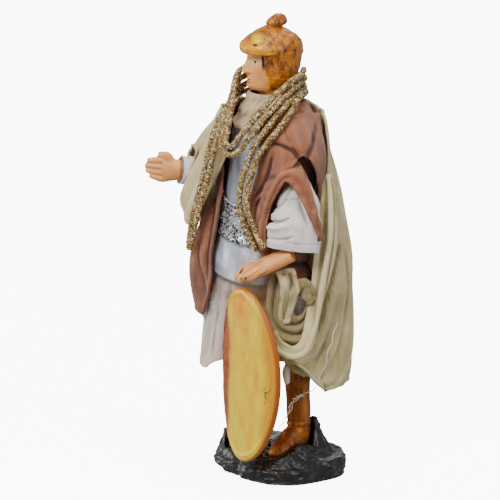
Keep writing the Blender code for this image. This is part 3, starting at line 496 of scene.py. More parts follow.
rock = Finish("rock_paint", 0.35, {"Coat Weight": 0.28, "Coat Roughness": 0.16})
where = rock.place()
cloud = rock.noise(where, 0.004, 5.0, 0.65)
scratches = rock.noise(rock.stretched(where, (1.0, 0.18, 0.5)), 0.0007, 4.0, 0.8).over(0.60, 0.72)
dust = rock.noise(where, 0.0011, 6.0, 0.75).over(0.56, 0.74)
specks = rock.noise(where, 0.0010, 2.0, 0.5).over(0.71, 0.76)
colour = rock.mix(cloud.over(0.35, 0.7), tint(14, 11, 10), tint(30, 24, 21))
coats = ((scratches * 0.26, 112, 98, 88), (dust * 0.12, 70, 58, 50), (specks * 0.8, 176, 92, 44))
rock.colour(rock.layers(colour, *coats))
rock.set(Roughness=0.28 + 0.30 * dust + 0.15 * cloud)
rock.bump(cloud + 0.5 * dust, 0.00022)
add_turned("rock", rings, rock, "rock_paint", ["base"])

# The boots are legs and feet moulded in one and brushed over with gold on copper, so the strokes run up
# the leg. They are glued into the rock, and the edge of the sole is painted darker.

FOOT_LENGTH = 0.0165
BOOT_TURN = 4
HIP_Z = 0.0560
HIP_LEAN = (-0.0031, -0.0031)
# Stations of a boot, toe to knee: forward and height in foot lengths, tilt in degrees, half width and half
# depth.
BOOT = [
    (-0.60, 0.10, 90, 0.0016, 0.0010),
    (-0.46, 0.15, 86, 0.0029, 0.0022),
    (-0.26, 0.18, 72, 0.0032, 0.0032),
    (-0.06, 0.26, 48, 0.0031, 0.0044),
    (0.06, 0.40, 24, 0.0030, 0.0040),
    (0.06, 0.66, 6, 0.0031, 0.0035),
    (0.04, 1.15, 0, 0.0034, 0.0036),
    (0.02, 1.70, 0, 0.0035, 0.0036),
    (0.00, 2.20, 0, 0.0034, 0.0034),
]


# Creases round the ankle: height above the sole, half width and depth.
ANKLE = [(0.0078, 0.0006, -0.00022), (0.0094, 0.0005, -0.00020), (0.0086, 0.0006, 0.00016)]


def boot_rings(foot):
    """Rings of one boot: each lies across its station, turned from level at the leg to upright at the toe."""
    forward, height, tilt, wide, deep = evenly(BOOT, 110).T[..., None]
    around = np.linspace(0, 2 * math.pi, 73)
    slope = np.radians(tilt)
    x = np.cos(around) * wide
    y = forward * FOOT_LENGTH - np.sin(around) * deep * np.cos(slope)
    z = height * FOOT_LENGTH + np.sin(around) * deep * np.sin(slope)
    rings = stacked(x, y, np.maximum(z, 0))
    ankle = sum(depth * bump(z, level, width) for level, width, depth in ANKLE)
    welt = 0.00022 * smoothstep((0.0012 - z) / 0.0003)
    facets = 0.00010 * grain(rings * (1, 1, 0.25), 0.0022, 5)
    middle = rings[:, :-1].mean(1, keepdims=True)
    outward = (rings - middle) / (np.linalg.norm(rings - middle, axis=-1, keepdims=True) + 1e-9)
    rings = rings + outward * (ankle + welt + facets)[..., None] * (1, 1, 0)
    top = rings[-1] + (*HIP_LEAN, 0)
    top[:, 2] = HIP_Z - GAP - SOLE_Z
    rings = np.concatenate([rings, rings[-1] + (top - rings[-1]) * np.linspace(0.1, 1, 10)[:, None, None]])
    cosine, sine = math.cos(math.radians(BOOT_TURN)), math.sin(math.radians(BOOT_TURN))
    spin = np.array([[cosine, -sine, 0], [sine, cosine, 0], [0, 0, 1]])
    return rings @ spin.T + (*foot, SOLE_Z)


def boot_finish(name):
    """Gold brushed over copper: long strokes up the leg, a pale painted highlight down its right side, a bare
    strip beside it, and a dark sole.
    """
    gold = Finish(name, 0.38, {"Metallic": 0.25})
    where = gold.place()
    strokes = gold.noise(gold.stretched(where, (1.0, 1.0, 0.12)), 0.0010, 5.0, 0.7)
    blots = gold.noise(where, 0.005, 3.0, 0.6)
    x, y = gold.seen()
    # A painted highlight runs down the right side of the leg, with a bare strip beside it.
    highlight_stripe = x.bell(305, 4) * y.over(376, 392) * y.over(430, 410)
    bare = x.bell(309.5, 2.2) * y.over(380, 388) * y.over(428, 418)
    low = gold.split(where)[2].over(0.0084, 0.0064)
    colour = gold.mix(strokes.over(0.38, 0.62), tint(116, 72, 44), tint(160, 106, 66))
    coats = (
        (blots.over(0.50, 0.72) * 0.75, 192, 140, 88),
        (highlight_stripe * (0.4 + 0.5 * strokes), 206, 150, 104),
        (bare * 0.6, 126, 104, 108),
        (low * 0.6, 58, 32, 20),
    )
    gold.colour(gold.layers(colour, *coats))
    gold.set(Roughness=0.30 + 0.25 * strokes)
    gold.bump(strokes + blots, 0.00012)
    return gold


for side, foot in SOLES.items():
    gold = boot_finish(f"boot_gold_{side}")
    add_turned(f"painted_boot_{side}", boot_rings(foot), gold, f"boot_gold_{side}", [f"boot_{side}"])

# The tunic is silver lame satin, wrapped round the body and sewn down the middle of the front.
# It hangs smooth from the belt and ends in a soft hem that rises towards the figure's right.

WAIST_Z = 0.0735
CHEST_Z = 0.0910
SHOULDER_Z = 0.0985
COLLAR_Z = 0.1025
CLOTH = 0.0009  # the layer that the frame allows; the cloth itself is thinner and lies at its outside
THIN = 0.0004
# Stations of the body: height, half width, depth in front and depth behind.
BODY = [
    (COLLAR_Z, 0.0052, 0.0050, 0.0054),
    (COLLAR_Z - 0.0018, 0.0080, 0.0070, 0.0074),
    (SHOULDER_Z, 0.0103, 0.0088, 0.0086),
    (SHOULDER_Z - 0.0035, 0.0113, 0.0100, 0.0089),
    (CHEST_Z - 0.0030, 0.0114, 0.0108, 0.0089),
    (WAIST_Z + 0.0065, 0.0108, 0.0106, 0.0087),
    (WAIST_Z, 0.0109, 0.0108, 0.0088),
    (WAIST_Z - 0.0060, 0.0120, 0.0116, 0.0096),
    (HIP_Z + 0.0055, 0.0129, 0.0124, 0.0104),
    (HIP_Z, 0.0133, 0.0128, 0.0107),
]


def lean(height):
    """How far the middle of the figure stands off its axis: none at the chest, all of it at the hips."""
    share = smoothstep((CHEST_Z - height) / (CHEST_Z - HIP_Z))
    return share[..., None] * np.array([*HIP_LEAN, 0.0])


def skin(profile, degrees, place):
    """A profile at a place along its stations, in a direction: radius, height, and outward slope (out, up).

    The level section is an ellipse, a b / hypot(a cos, b sin), whose depth differs in front and behind.
    """
    step = 0.05
    values = through(profile, place)
    ahead = through(profile, place + step) - through(profile, place - step)
    away = facing(degrees)
    front = smoothstep(0.5 + 0.9 * away[..., 1])

    def depth(rows):
        return rows[..., 2] + (rows[..., 3] - rows[..., 2]) * front

    wide, deep = values[..., 1], depth(values)
    radius = wide * deep / np.hypot(wide * away[..., 1], deep * away[..., 0])
    spread = np.maximum(np.abs(away[..., 0]) * ahead[..., 1] + np.abs(away[..., 1]) * depth(ahead), 0)
    slope = np.hypot(spread, ahead[..., 0])
    return radius, values[..., 0], -ahead[..., 0] / slope, spread / slope


def layer(profile, degrees, place, lift):
    """Points of a layer of cloth: the profile in a direction, lifted square to its slope."""
    degrees, place, lift = np.broadcast_arrays(degrees, place, lift)
    radius, height, out, up = skin(profile, degrees, place)
    return round_axis(degrees, radius + out * lift, height + up * lift) + lean(height)


def folds(degrees, count, phase, sharp=0.0):
    """Hanging folds round the figure, from 0 to 1; sharp narrows their crests."""
    return (0.5 + 0.5 * np.cos(np.radians(degrees * count) + phase)) ** (1 + sharp)


def square_to(points):
    """Unit directions square to a grid of points, from the cross product of its two ways."""
    normal = np.cross(np.gradient(points, axis=0), np.gradient(points, axis=1))
    return normal / (np.linalg.norm(normal, axis=-1, keepdims=True) + 1e-12)


def creases(points, lines):
    """Heights of folds that are placed by their lines in the photograph.

    A line holds its depth in metres (below 0 for a valley), its width in pixels and its (x, y) points. Its
    section is a bell, exp(-(distance / width)^2), which fades towards its ends. The back has none.
    """
    x, y = in_picture(points)
    height = np.zeros(x.shape)
    for depth, width, keys in lines:
        line = evenly(np.array(keys, float), 9 * len(keys))
        fade = np.sin(np.pi * np.linspace(0.06, 0.94, len(line))) ** 0.6
        box = (x > line[:, 0].min() - 3 * width) & (x < line[:, 0].max() + 3 * width)
        box &= (y > line[:, 1].min() - 3 * width) & (y < line[:, 1].max() + 3 * width)
        gap = np.hypot(x[box][:, None] - line[:, 0], y[box][:, None] - line[:, 1])
        nearest = gap.argmin(1)
        least = gap[np.arange(len(gap)), nearest]
        height[box] += depth * np.exp(-((least / width) ** 2)) * fade[nearest]
    return height * smoothstep((points @ TOWARDS + 0.010) / 0.002)


def map_of(points):
    """A map of the cloth in metres: mean steps across and along the grid, added up."""
    steps = [np.linalg.norm(np.diff(points, axis=axis), axis=-1).mean(1 - axis) for axis in (1, 0)]
    across, along = (np.concatenate([[0], np.cumsum(step)]) for step in steps)
    return stacked(across[None, :], along[:, None])


def close(grid):
    """Sets the last column of a grid and the first to their mean, so that it wraps round."""
    grid[:, 0] = grid[:, -1] = (grid[:, 0] + grid[:, -1]) / 2


FOLD_REACH = 0.0014
FOLD_DEPTH = 0.00070


def hollows(points, outward, wraps):
    """How deep each point lies in a fold, from 0 to 1: the outward step to the mean of its neighbours.

    The neighbours are those within the reach of a fold, along both ways of the grid.
    """
    mean = points
    for axis in (0, 1):
        step = np.linalg.norm(np.diff(points, axis=axis), axis=-1).mean()
        reach = max(int(FOLD_REACH / max(step, 1e-6)), 2)
        pad = [(0, 0)] * 3
        pad[axis] = (reach, reach)
        wide = np.pad(mean, pad, mode="wrap" if wraps and axis == 1 else "edge")
        count = points.shape[axis]
        shifts = (0, reach // 2, reach, reach + reach // 2, 2 * reach)
        rows = [np.take(wide, np.arange(shift, shift + count), axis=axis) for shift in shifts]
        mean = sum(rows) / len(rows)
    return np.clip(0.5 + ((mean - points) * outward).sum(-1) / FOLD_DEPTH, 0, 1)


def add_cloth(name, outer, finish, slot, replaces=(), hem=0.0, shade=0.0, inward=-1.0, thickness=THIN):
    """A thin closed sheet under a grid of points, which wraps round where the last column repeats the first.

    The back is the front moved by the thickness along the grid's normals, times inward. hem thickens the
    cloth's edges by that much, over a millimetre, as a folded edge does. shade, 0 to 1 at each point, is
    painted
    shade: how much darker a crevice between two cloths is drawn. The back of the cloth gets painted shade
    too.
    """
    wraps = np.allclose(outer[:, 0], outer[:, -1], rtol=0, atol=WELD)
    normal = square_to(outer) * inward
    if wraps:
        close(normal)
    cloth_map = map_of(outer)
    if hem:
        edges = [(cloth_map[..., 1], cloth_map[-1, :, 1])]
        if not wraps:
            edges.append((cloth_map[..., 0], cloth_map[:, -1:, 0]))
        to_edge = np.minimum.reduce([np.minimum(here, whole - here) for here, whole in edges])
        rolled = smoothstep((0.0012 - to_edge) / 0.0004) * hem
        outer = outer - normal * rolled[..., None] * 0.5
        thickness = thickness + rolled[..., None]
    rows, columns = outer.shape[:2]
    count = rows * columns
    faces = grid_faces(rows, columns) + grid_faces(rows, columns, count)
    index = np.arange(count).reshape(rows, columns)
    for edge in [index[0], index[-1]] + ([] if wraps else [index[:, 0], index[:, -1]]):
        faces += np.stack([edge[:-1], edge[1:], edge[1:] + count, edge[:-1] + count], axis=-1).tolist()
    # Painted shading of each point: its fold's depth with the painted shade of crevices; the back is held at
    # 0.75, in painted shade.
    painted_shading = np.clip(hollows(outer, -normal, wraps) + shade, 0, 1)
    points, maps = np.stack([outer, outer + normal * thickness]), np.stack([cloth_map, cloth_map])
    return add_piece(name, points, faces, finish, slot, replaces, maps, np.stack([painted_shading, 0.75 + 0 * painted_shading]))


def woven(finish, thread, vector=None):
    """Height of a plain weave from 0 to 1: warp and weft as two waves across each other."""
    u, v = finish.split(vector or finish.cloth())[:2]
    step = 2 * math.pi / thread
    warp, weft = (u * step).wave(), (v * step).wave()
    over = (u * (step / 2)).sine() * (v * (step / 2)).sine()
    chosen = over.over(-0.3, 0.3)
    return warp * chosen + weft * (1 - chosen)


lame = Finish("silver_lame", 0.36, {"Metallic": 0.45, "Sheen Weight": 0.2})
where = lame.place()
weave = woven(lame, 0.00042)
shine = lame.noise(lame.stretched(where, (1.0, 1.0, 0.4)), 0.004, 3.0, 0.5)
colour = lame.mix(shine.over(0.35, 0.65), tint(176, 180, 186), tint(222, 226, 232))
lame.colour(lame.mix(weave * 0.35, colour, tint(240, 242, 246)))
lame.set(Roughness=0.30 + 0.22 * weave)
lame.bump(weave, 0.00005)

TUNIC_FOLDS = [
    (-0.00035, 2.2, [(224, 240), (225, 262), (226, 284)]),
    (-0.00050, 3.5, [(232, 168), (230, 186), (229, 200)]),
    (0.00040, 3.5, [(236, 166), (238, 184), (236, 198)]),
    (-0.00045, 4.0, [(242, 170), (241, 188), (238, 202)]),
    (0.00040, 4.0, [(246, 172), (246, 190), (242, 204)]),
    (-0.00030, 3.0, [(238, 244), (246, 258), (250, 270)]),
    (0.00035, 5.0, [(232, 246), (234, 262), (236, 278)]),
    (-0.00030, 4.0, [(213, 252), (217, 262), (224, 272)]),
]
degrees = np.linspace(0, 360, 181)[None, :]
place = np.linspace(0, len(BODY) - 1, 80)[:, None]
flare = smoothstep((place - 6.5) / 2.5)
lift = 0.0006 * flare * folds(degrees, 7, 0.6) + 0.00010 * smoothstep(place - 2) * folds(degrees, 23, 1.0)
outer = layer(BODY, degrees, place, lift)
outer -= square_to(outer) * (creases(outer, TUNIC_FOLDS) * smoothstep(place - 2))[..., None]
close(outer)
rise = 0.0052 * bump_round(degrees, 292, 46) + 0.0016 * bump_round(degrees, 345, 30)
outer[..., 2] += rise * (np.linspace(0, 1, len(outer)) ** 6)[:, None]
tunic = add_cloth("silver_tunic", outer, lame, "tunic_lame", ["tunic"], 0.0002, inward=1.0)

# The belt is a silver sash stiff with glitter. It is wound low on the left hip and creased along its
# length.

glitter = Finish("silver_glitter", 0.22, {"Metallic": 0.75})
where = glitter.place()
flakes = glitter.cells(where, 0.00042)
red, green, blue = glitter.split(flakes)
# The flakes run from dark grey to white as painted reflections, and a few are painted white glints.
colour = glitter.mix(red.over(0.15, 0.85), tint(74, 74, 78), tint(236, 238, 242))
glitter.colour(glitter.mix(green.over(0.82, 0.9), colour, tint(255, 255, 255)))
glitter.set(Roughness=0.12 + 0.45 * blue)
glitter.bump(red + green, 0.00035)

BELT = 0.0008
degrees = np.linspace(0, 360, 301)[None, :]
across = np.linspace(-0.7, 0.7, 22)[:, None]
level = 6.15 + 0.55 * np.sin(np.radians(degrees)) + across * (1 + 0.10 * np.cos(np.radians(degrees * 3)))
band = layer(BODY, degrees, level, GAP + BELT * 0.95)
wrinkle = 0.00022 * np.cos(9 * across + 3.0 * np.sin(np.radians(degrees * 5)) + np.radians(degrees * 2))
band -= square_to(band) * (wrinkle + 0.00008 * grain(band, 0.0012, 11) - 0.0001)[..., None]
close(band)
belt = add_cloth("glitter_belt", band, glitter, "belt_glitter", ["belt"], inward=1.0, thickness=0.0006)

# The underskirt is off-white cotton, gathered under the tunic into hanging pleats. Its hem falls in two
# points, and it is pushed in where the shield leans on it.


def stained_cotton(name, roughness, thread, blot, span, tones, rub=0.25, relief=0.00006):
    """Plain-woven cotton in five tones: ground, stains, thread crowns, and painted shade and highlight of its
    folds.
    """
    cloth = Finish(name, roughness, {"Sheen Weight": rub})
    weave = woven(cloth, thread)
    ground, stain, crown, painted_shading, crest = (tint(*tone) for tone in tones)
    colour = cloth.mix(cloth.noise(cloth.place(), blot, 4.0, 0.6).over(*span), ground, stain)
    cloth.colour(cloth.creased(cloth.mix(weave * rub, colour, crown), painted_shading, crest, 0.7))
    cloth.bump(weave, relief)
    return cloth


SKIRT_TONES = ((244, 236, 228), (226, 208, 196), (250, 246, 240), (176, 160, 150), (255, 252, 248))
cotton = stained_cotton("skirt_cotton", 0.85, 0.00036, 0.006, (0.42, 0.72), SKIRT_TONES)

SKIRT_FOLDS = [
    (-0.0016, 1.7, [(218, 280), (214, 304), (208, 334), (206, 352)]),
    (0.0010, 2.4, [(222, 280), (219, 308), (214, 340), (213, 360)]),
    (-0.0018, 1.8, [(228, 282), (226, 306), (222, 336), (221, 356)]),
    (0.0010, 2.2, [(232, 286), (231, 308), (228, 336)]),
    (-0.0014, 1.6, [(213, 282), (209, 298), (205, 316)]),
    (-0.0012, 1.5, [(235, 284), (235, 300), (233, 316)]),
]
SKIRT_HEM_Z = 0.0350
SKIRT_RADIUS = 0.0120
PLEAT = 0.0007
degrees = np.linspace(0, 360, 201)[None, :]
share = np.linspace(-0.22, 1, 64)[:, None]
shield_side = smoothstep((degrees + 16) / 14) * smoothstep((72 - degrees) / 20)
shield_side = np.maximum(shield_side, smoothstep((degrees - 344) / 14))
left_leg = bump(degrees, 108, 34)
point = bump_round(degrees, 332, 20)
hem = SKIRT_HEM_Z - 0.0056 * point + 0.0064 * left_leg + 0.0012 * np.cos(np.radians(3 * degrees) + 1.2)
top = HIP_Z - GAP
height = top + (hem - top) * share
down = np.maximum(share, 0)
dent = shield_side * (0.0010 + 0.0044 * smoothstep(down * 1.8))
wide = SKIRT_RADIUS + 0.0010 * down - dent + left_leg * (0.0008 + 0.0060 * down) + 0.0022 * point * down
fine = (2 * folds(degrees, 23, 1.4, 0.5) - 1) * (0.4 + 0.6 * (1 - down))
pleats = 2 * folds(degrees, 9, 0.4) - 1 + 0.45 * fine + 0.3 * np.cos(np.radians(degrees * 14) + 5 * down)
radius = wide + PLEAT * smoothstep(0.15 + down * 1.6) * (1 - shield_side) * pleats
outer = round_axis(degrees, radius, height) + lean(height)
outer -= square_to(outer) * creases(outer, SKIRT_FOLDS)[..., None]
close(outer)
# Lines of painted shade: down two pleats, and a painted shadow under the tunic's hem.
SKIRT_SHADES = [
    (0.5, 1.8, [(219, 280), (215, 304), (210, 334)]),
    (0.5, 1.8, [(228, 282), (226, 306), (223, 336)]),
    (0.7, 3.0, [(238, 286), (228, 283), (216, 278), (208, 272)]),
]
shade = creases(outer, SKIRT_SHADES)
skirt = add_cloth("cotton_skirt", outer, cotton, "skirt_cotton", ["skirt"], 0.0002, shade, 1.0)

# The shield is one oval casting, bowed about its upright middle, brushed bright gold over copper: copper
# shows at its turned edge, with small dark pits. It stands on the rock, and the left hand is glued over
# its top.

SHIELD_HEIGHT = 0.0490
SHIELD_WIDTH = 0.0254
SHIELD_THICKNESS = 0.0021
SHIELD_BULGE = 0.0030
SHIELD_FOOT_Z = 0.0080
SHIELD_CENTRE = (0.0086, -0.0150)
SHIELD_TURN = math.radians(-10)
BACK = 0.43  # the share of the rows that lie on the shield's back
RIM = 0.045  # width of the rounded rim, as a share of the radius

around = np.linspace(0, 2 * math.pi, 201)[None, :]
step = np.linspace(0, 1, 92)[:, None]
back = np.sin(np.minimum(step / BACK, 1) * math.pi / 2)
front = np.cos(np.clip((step - BACK) / (1 - BACK), 0, 1) * math.pi / 2)
share = np.maximum(np.where(step < BACK, back, front), 0.004)
rim = np.where(share > 1 - RIM, np.sqrt(np.clip(1 - ((share - 1 + RIM) / RIM) ** 2, 0, 1)), 1.0)
side = np.where(step < BACK, -1.0, 1.0)
x = np.sin(around) * share
depth = SHIELD_BULGE * (1 - x**2) + SHIELD_THICKNESS * (0.5 + 0.5 * side * rim)
spots = stacked(x * SHIELD_WIDTH / 2, -depth, np.cos(around) * share * SHIELD_HEIGHT / 2)
strokes = 0.00007 * grain(spots * (1, 0, 0.16), 0.0011, 51) + 0.00009 * grain(spots * (1, 0, 0.5), 0.005, 52)
lip = 0.00018 * bump(share, 0.93, 0.018)
spots[..., 1] -= side * (strokes * smoothstep((0.97 - share) / 0.05) + lip)
spin = np.array(Matrix.Rotation(SHIELD_TURN, 3, "Z"))
shield_place = np.array([*SHIELD_CENTRE, SHIELD_FOOT_Z + SHIELD_HEIGHT / 2])

gilt = Finish("gilt_shield", 0.34, {"Coat Weight": 0.2, "Coat Roughness": 0.3})
where = gilt.place()
u, v = gilt.split(gilt.cloth())[:2]
strokes = gilt.noise(gilt.stretched(where, (1.0, 1.0, 0.16)), 0.0018, 5.0, 0.65)
clouds = gilt.noise(gilt.stretched(where, (1.0, 1.0, 0.45)), 0.0075, 5.0, 0.62)
fine = gilt.noise(where, 0.0011, 5.0, 0.7)
# Painted highlight: the gold is drawn brighter towards the shield's right and its foot.
painted_highlight = (clouds * 0.75 + strokes * 0.35 + v * -2.2 + u * 8.0).over(0.34, 0.62)
edge = (u + (clouds - 0.5) * 0.0050 + (strokes - 0.5) * 0.0020).over(-0.0050, -0.0078)
far = (u + (clouds - 0.5) * 0.0040 + abs(v) * 0.10).over(0.0082, 0.0118)
rim_line = (u**2 * (4 / SHIELD_WIDTH**2) + v**2 * (4 / SHIELD_HEIGHT**2)).over(0.93, 0.985)
pits = gilt.noise(where, 0.0010, 3.0, 0.6).over(0.70, 0.74)
worn = (u.bell(0.0100, 0.0018) * v.bell(-0.0030, 0.0060) * fine.over(0.52, 0.58)).most(pits * 0.8)
copper = gilt.mix(fine.over(0.38, 0.62), tint(122, 66, 36), tint(176, 106, 58))
colour = gilt.mix(painted_highlight, tint(240, 160, 78), tint(255, 212, 124))
colour = gilt.layers(colour, ((fine * 0.6 + strokes * 0.5).over(0.60, 0.74) * 0.5, 255, 214, 146))
colour = gilt.mix(edge * 0.92, colour, copper)
coats = ((far * 0.7, 196, 128, 66), (rim_line * 0.75, 138, 72, 30), (worn, 92, 48, 22))
gilt.colour(gilt.layers(colour, *coats))
gilt.set(Roughness=0.24 + 0.26 * strokes, Metallic=0.04 + 0.25 * edge)
gilt.bump(strokes + clouds + 0.5 * fine, 0.00016)
add_turned("gilt_shield", spots @ spin.T + shield_place, gilt, "shield_gold", ["shield"], spots[..., [0, 2]])

# The coat is thin rosy-brown cotton, stiffened with glue: open in front, with a sewn collar line, long
# creases down its panels, and wide sleeves that are caught at the elbow.

# Stations of the coat, as the body's.
COAT = [
    (COLLAR_Z + 0.0014, 0.0078, 0.0084, 0.0088),
    (COLLAR_Z + 0.0004, 0.0092, 0.0089, 0.0096),
    (SHOULDER_Z + 0.0012, 0.0115, 0.0101, 0.0103),
    (SHOULDER_Z - 0.0030, 0.0125, 0.0113, 0.0104),
    (CHEST_Z - 0.0030, 0.0127, 0.0121, 0.0103),
    (WAIST_Z + 0.0045, 0.0128, 0.0124, 0.0104),
    (WAIST_Z - 0.0030, 0.0133, 0.0129, 0.0109),
    (HIP_Z + 0.0065, 0.0142, 0.0137, 0.0117),
    (HIP_Z, 0.0147, 0.0141, 0.0124),
    (HIP_Z - 0.0070, 0.0150, 0.0142, 0.0130),
    (HIP_Z - 0.0130, 0.0151, 0.0142, 0.0134),
]
NEAR_EDGE = [42, 39, 36, 34, 27, 22, 25, 52, 70, 74, 76]  # degrees of the front edge at each station
FAR_EDGE = [-56, -56, -54, -50, -40, -22, -13, -9, -5, -14, -24]
# A sleeve: degrees of its front and back edge and of its crest, how far it stands out, and the stations of
# its hem.
LEFT_SLEEVE = (30, 132, 66, 0.0062, [4.9, 4.2, 3.4, 4.6, 6.6, 6.9])
RIGHT_SLEEVE = (312, 228, 276, 0.0036, [3.7, 3.5, 3.4, 3.5, 3.8])
COAT_FOLD = 0.0007  # height of the hanging folds at the hem
COAT_PANEL = 0.0034  # how far the panel on the right bellies out


def coat_lift(degrees, place):
    """How far the coat stands off its profile: folds that open towards the hem, and a bellied panel."""
    low = smoothstep((place - 4) / 6)
    panel = bump(degrees, 318, 26) * bump(place, 6.9, 2.0)
    return low * COAT_FOLD * folds(degrees, 11, 0.8) + COAT_PANEL * panel


def sleeve_lift(sleeve, degrees, place):
    """How far a sleeve stands off the coat: nothing at its sides and at the shoulder, most over the arm."""
    first, last, peak, bulge = sleeve[:4]
    across = (degrees - first) / (last - first)
    arch = bump(degrees, peak, 0.36 * abs(last - first)) * smoothstep(4 * across) * smoothstep(4 - 4 * across)
    return bulge * arch * smoothstep((place - 1.6) / 2.2)


def outside_coat(points, clearance):
    """Points of what lies on the coat and its sleeves: those that would come closer are moved square away."""
    points = np.array(points, float)
    for _ in range(3):
        middle = lean(points[..., 2])
        away = (points - middle)[..., :2]
        distance = np.linalg.norm(away, axis=-1)
        degrees = np.degrees(np.arctan2(away[..., 0], -away[..., 1])) % 360
        height = points[..., 2]
        for _ in range(4):
            place = np.interp(-height, [-row[0] for row in COAT], np.arange(len(COAT)))
            radius, level, out, up = skin(COAT, degrees, place)
            off = (distance - radius) * out + (points[..., 2] - level) * up
            height = points[..., 2] - up * off
        lift = CLOTH + coat_lift(degrees, place) + clearance
        for sleeve in (LEFT_SLEEVE, RIGHT_SLEEVE):
            low, high = sorted(sleeve[:2])
            over = smoothstep((degrees - low + 8) / 6) * smoothstep((high + 8 - degrees) / 6)
            over = over * smoothstep((place - 1.2) / 0.6)
            lift = lift + over * (GAP + CLOTH + sleeve_lift(sleeve, degrees, place))
        move = np.maximum(lift - off, 0) * (points[..., 2] < COAT[0][0] + 3 * CLOTH)
        points[..., :2] += away / distance[..., None] * (out * move)[..., None]
        points[..., 2] += up * move
    return points


def coat_finish(name, light=0.0):
    """Rosy-brown cotton with a fine weave, paler in streaks along its fall and towards the shoulders."""
    cloth = Finish(name, 0.82, {"Sheen Weight": 0.3, "Sheen Roughness": 0.4})
    where = cloth.place()
    weave = woven(cloth, 0.00034)
    clouds = cloth.noise(where, 0.009, 4.0, 0.6)
    streaks = cloth.noise(cloth.stretched(where, (1.0, 1.0, 0.25)), 0.0025, 4.0, 0.6)
    high = cloth.split(where)[2].over(0.088, 0.101)
    colour = cloth.mix(clouds.over(0.32, 0.68), tint(104, 70, 62), tint(146, 106, 92))
    # light is painted light: it pales the whole of this copy of the cloth.
    coats = (
        (streaks.over(0.48, 0.75) * 0.5 + light, 178, 136, 116),
        (high * 0.4, 168, 126, 104),
        (weave * 0.18, 190, 150, 126),
    )
    colour = cloth.layers(colour, *coats)
    cloth.colour(cloth.creased(colour, tint(52, 30, 26), tint(186, 140, 112), 0.8))
    cloth.set(Roughness=0.74 + 0.2 * weave)
    cloth.bump(weave + streaks, 0.00006)
    return cloth


COAT_FOLDS = [
    (-0.0007, 2.2, [(262, 112), (256, 134), (249, 160), (243, 188), (241, 206)]),
    (0.0005, 2.0, [(268, 114), (261, 138), (254, 164), (248, 190), (245, 208)]),
    (-0.0010, 2.0, [(272, 124), (266, 142), (259, 166), (252, 186)]),
    (0.0007, 2.2, [(280, 124), (273, 146), (266, 166), (258, 184)]),
    (-0.0007, 2.0, [(290, 104), (288, 124), (282, 148), (274, 166)]),
    (-0.0006, 2.4, [(300, 112), (302, 130), (298, 150)]),
    (-0.0008, 2.2, [(215, 190), (212, 220), (208, 250), (207, 280)]),
    (0.0006, 2.6, [(221, 196), (217, 226), (213, 256), (211, 290)]),
    (-0.0006, 2.0, [(200, 240), (198, 258), (203, 280), (207, 300)]),
    (-0.0006, 2.2, [(250, 218), (256, 238), (262, 254)]),
    (0.0006, 2.2, [(254, 214), (261, 234), (267, 252)]),
    (-0.0008, 2.6, [(288, 262), (300, 264), (316, 262)]),
    (0.0006, 3.0, [(286, 274), (300, 276), (318, 272)]),
    (-0.0008, 2.4, [(284, 286), (296, 290), (312, 290)]),
]
degrees_share = np.linspace(0, 1, 220)
places = np.linspace(0, len(COAT) - 1, 94)
first, last = through(NEAR_EDGE, places), through(FAR_EDGE, places) + 360
degrees = first[:, None] + (last - first)[:, None] * degrees_share[None, :]
end = len(COAT) - 1 - 1.3 * bump(degrees, 200, 70) - 1.5 * bump(degrees, 100, 40)
end -= 0.5 * bump(degrees, 325, 30)
place = np.linspace(0, 1, 94)[:, None] * end
outer = layer(COAT, degrees, place, coat_lift(degrees, place) + CLOTH)
flow = stacked(degrees / 9, place * 0.9, 0.0)
fine = grain(flow * (2.2, 0.5, 1), 2.0, 22) * smoothstep(place - 1)
ripple = 0.00012 * grain(flow, 2.4, 21) + 0.00010 * fine
outer += square_to(outer) * (creases(outer, COAT_FOLDS) + ripple)[..., None]
brown = coat_finish("brown_cotton")
# Lines of painted shade beside the lapel, along the collar seam, down a fold of the front and across the
# lower panel.
COAT_SHADES = [
    (0.8, 1.3, [(268, 126), (262, 146), (254, 170), (250, 184)]),
    (0.8, 1.4, [(290, 104), (296, 100), (303, 99), (312, 102), (318, 107)]),
    (0.9, 1.5, [(262, 200), (258, 222), (256, 248)]),
    (0.7, 2.4, [(280, 262), (300, 266), (318, 264)]),
]
shade = creases(outer, COAT_SHADES)
coat = add_cloth("brown_coat", outer, brown, "coat_cloth", ["coat"], 0.0003, shade)

SLEEVE_FOLDS = [
    (-0.0012, 2.0, [(246, 208), (256, 196), (266, 188), (274, 180)]),
    (-0.0009, 1.8, [(262, 222), (264, 204), (270, 192), (278, 184)]),
    (0.0006, 2.4, [(250, 196), (258, 182), (266, 168)]),
    (-0.0007, 2.0, [(262, 190), (268, 174), (272, 156)]),
    (0.0006, 2.6, [(276, 176), (288, 168), (300, 162)]),
    (-0.0005, 3.0, [(284, 132), (292, 148), (304, 160)]),
    (0.0005, 3.4, [(300, 118), (308, 138), (314, 160)]),
    (-0.0004, 2.6, [(312, 108), (318, 130), (321, 156)]),
    (-0.0008, 2.4, [(300, 163), (290, 152), (276, 146), (262, 146)]),
    (0.0007, 3.4, [(302, 156), (296, 142), (290, 124)]),
    (-0.0008, 2.6, [(306, 162), (312, 146), (316, 124)]),
]
# Lines of painted shade: a painted shadow under the sleeve's hem, and shade in its folds.
SLEEVE_SHADES = [
    (0.9, 1.4, [(246, 208), (256, 196), (266, 182), (278, 173)]),
    (0.6, 2.0, [(300, 164), (291, 152), (278, 146)]),
    (0.5, 2.4, [(306, 164), (312, 146), (316, 126)]),
    (0.5, 2.2, [(272, 158), (268, 172), (262, 188)]),
]


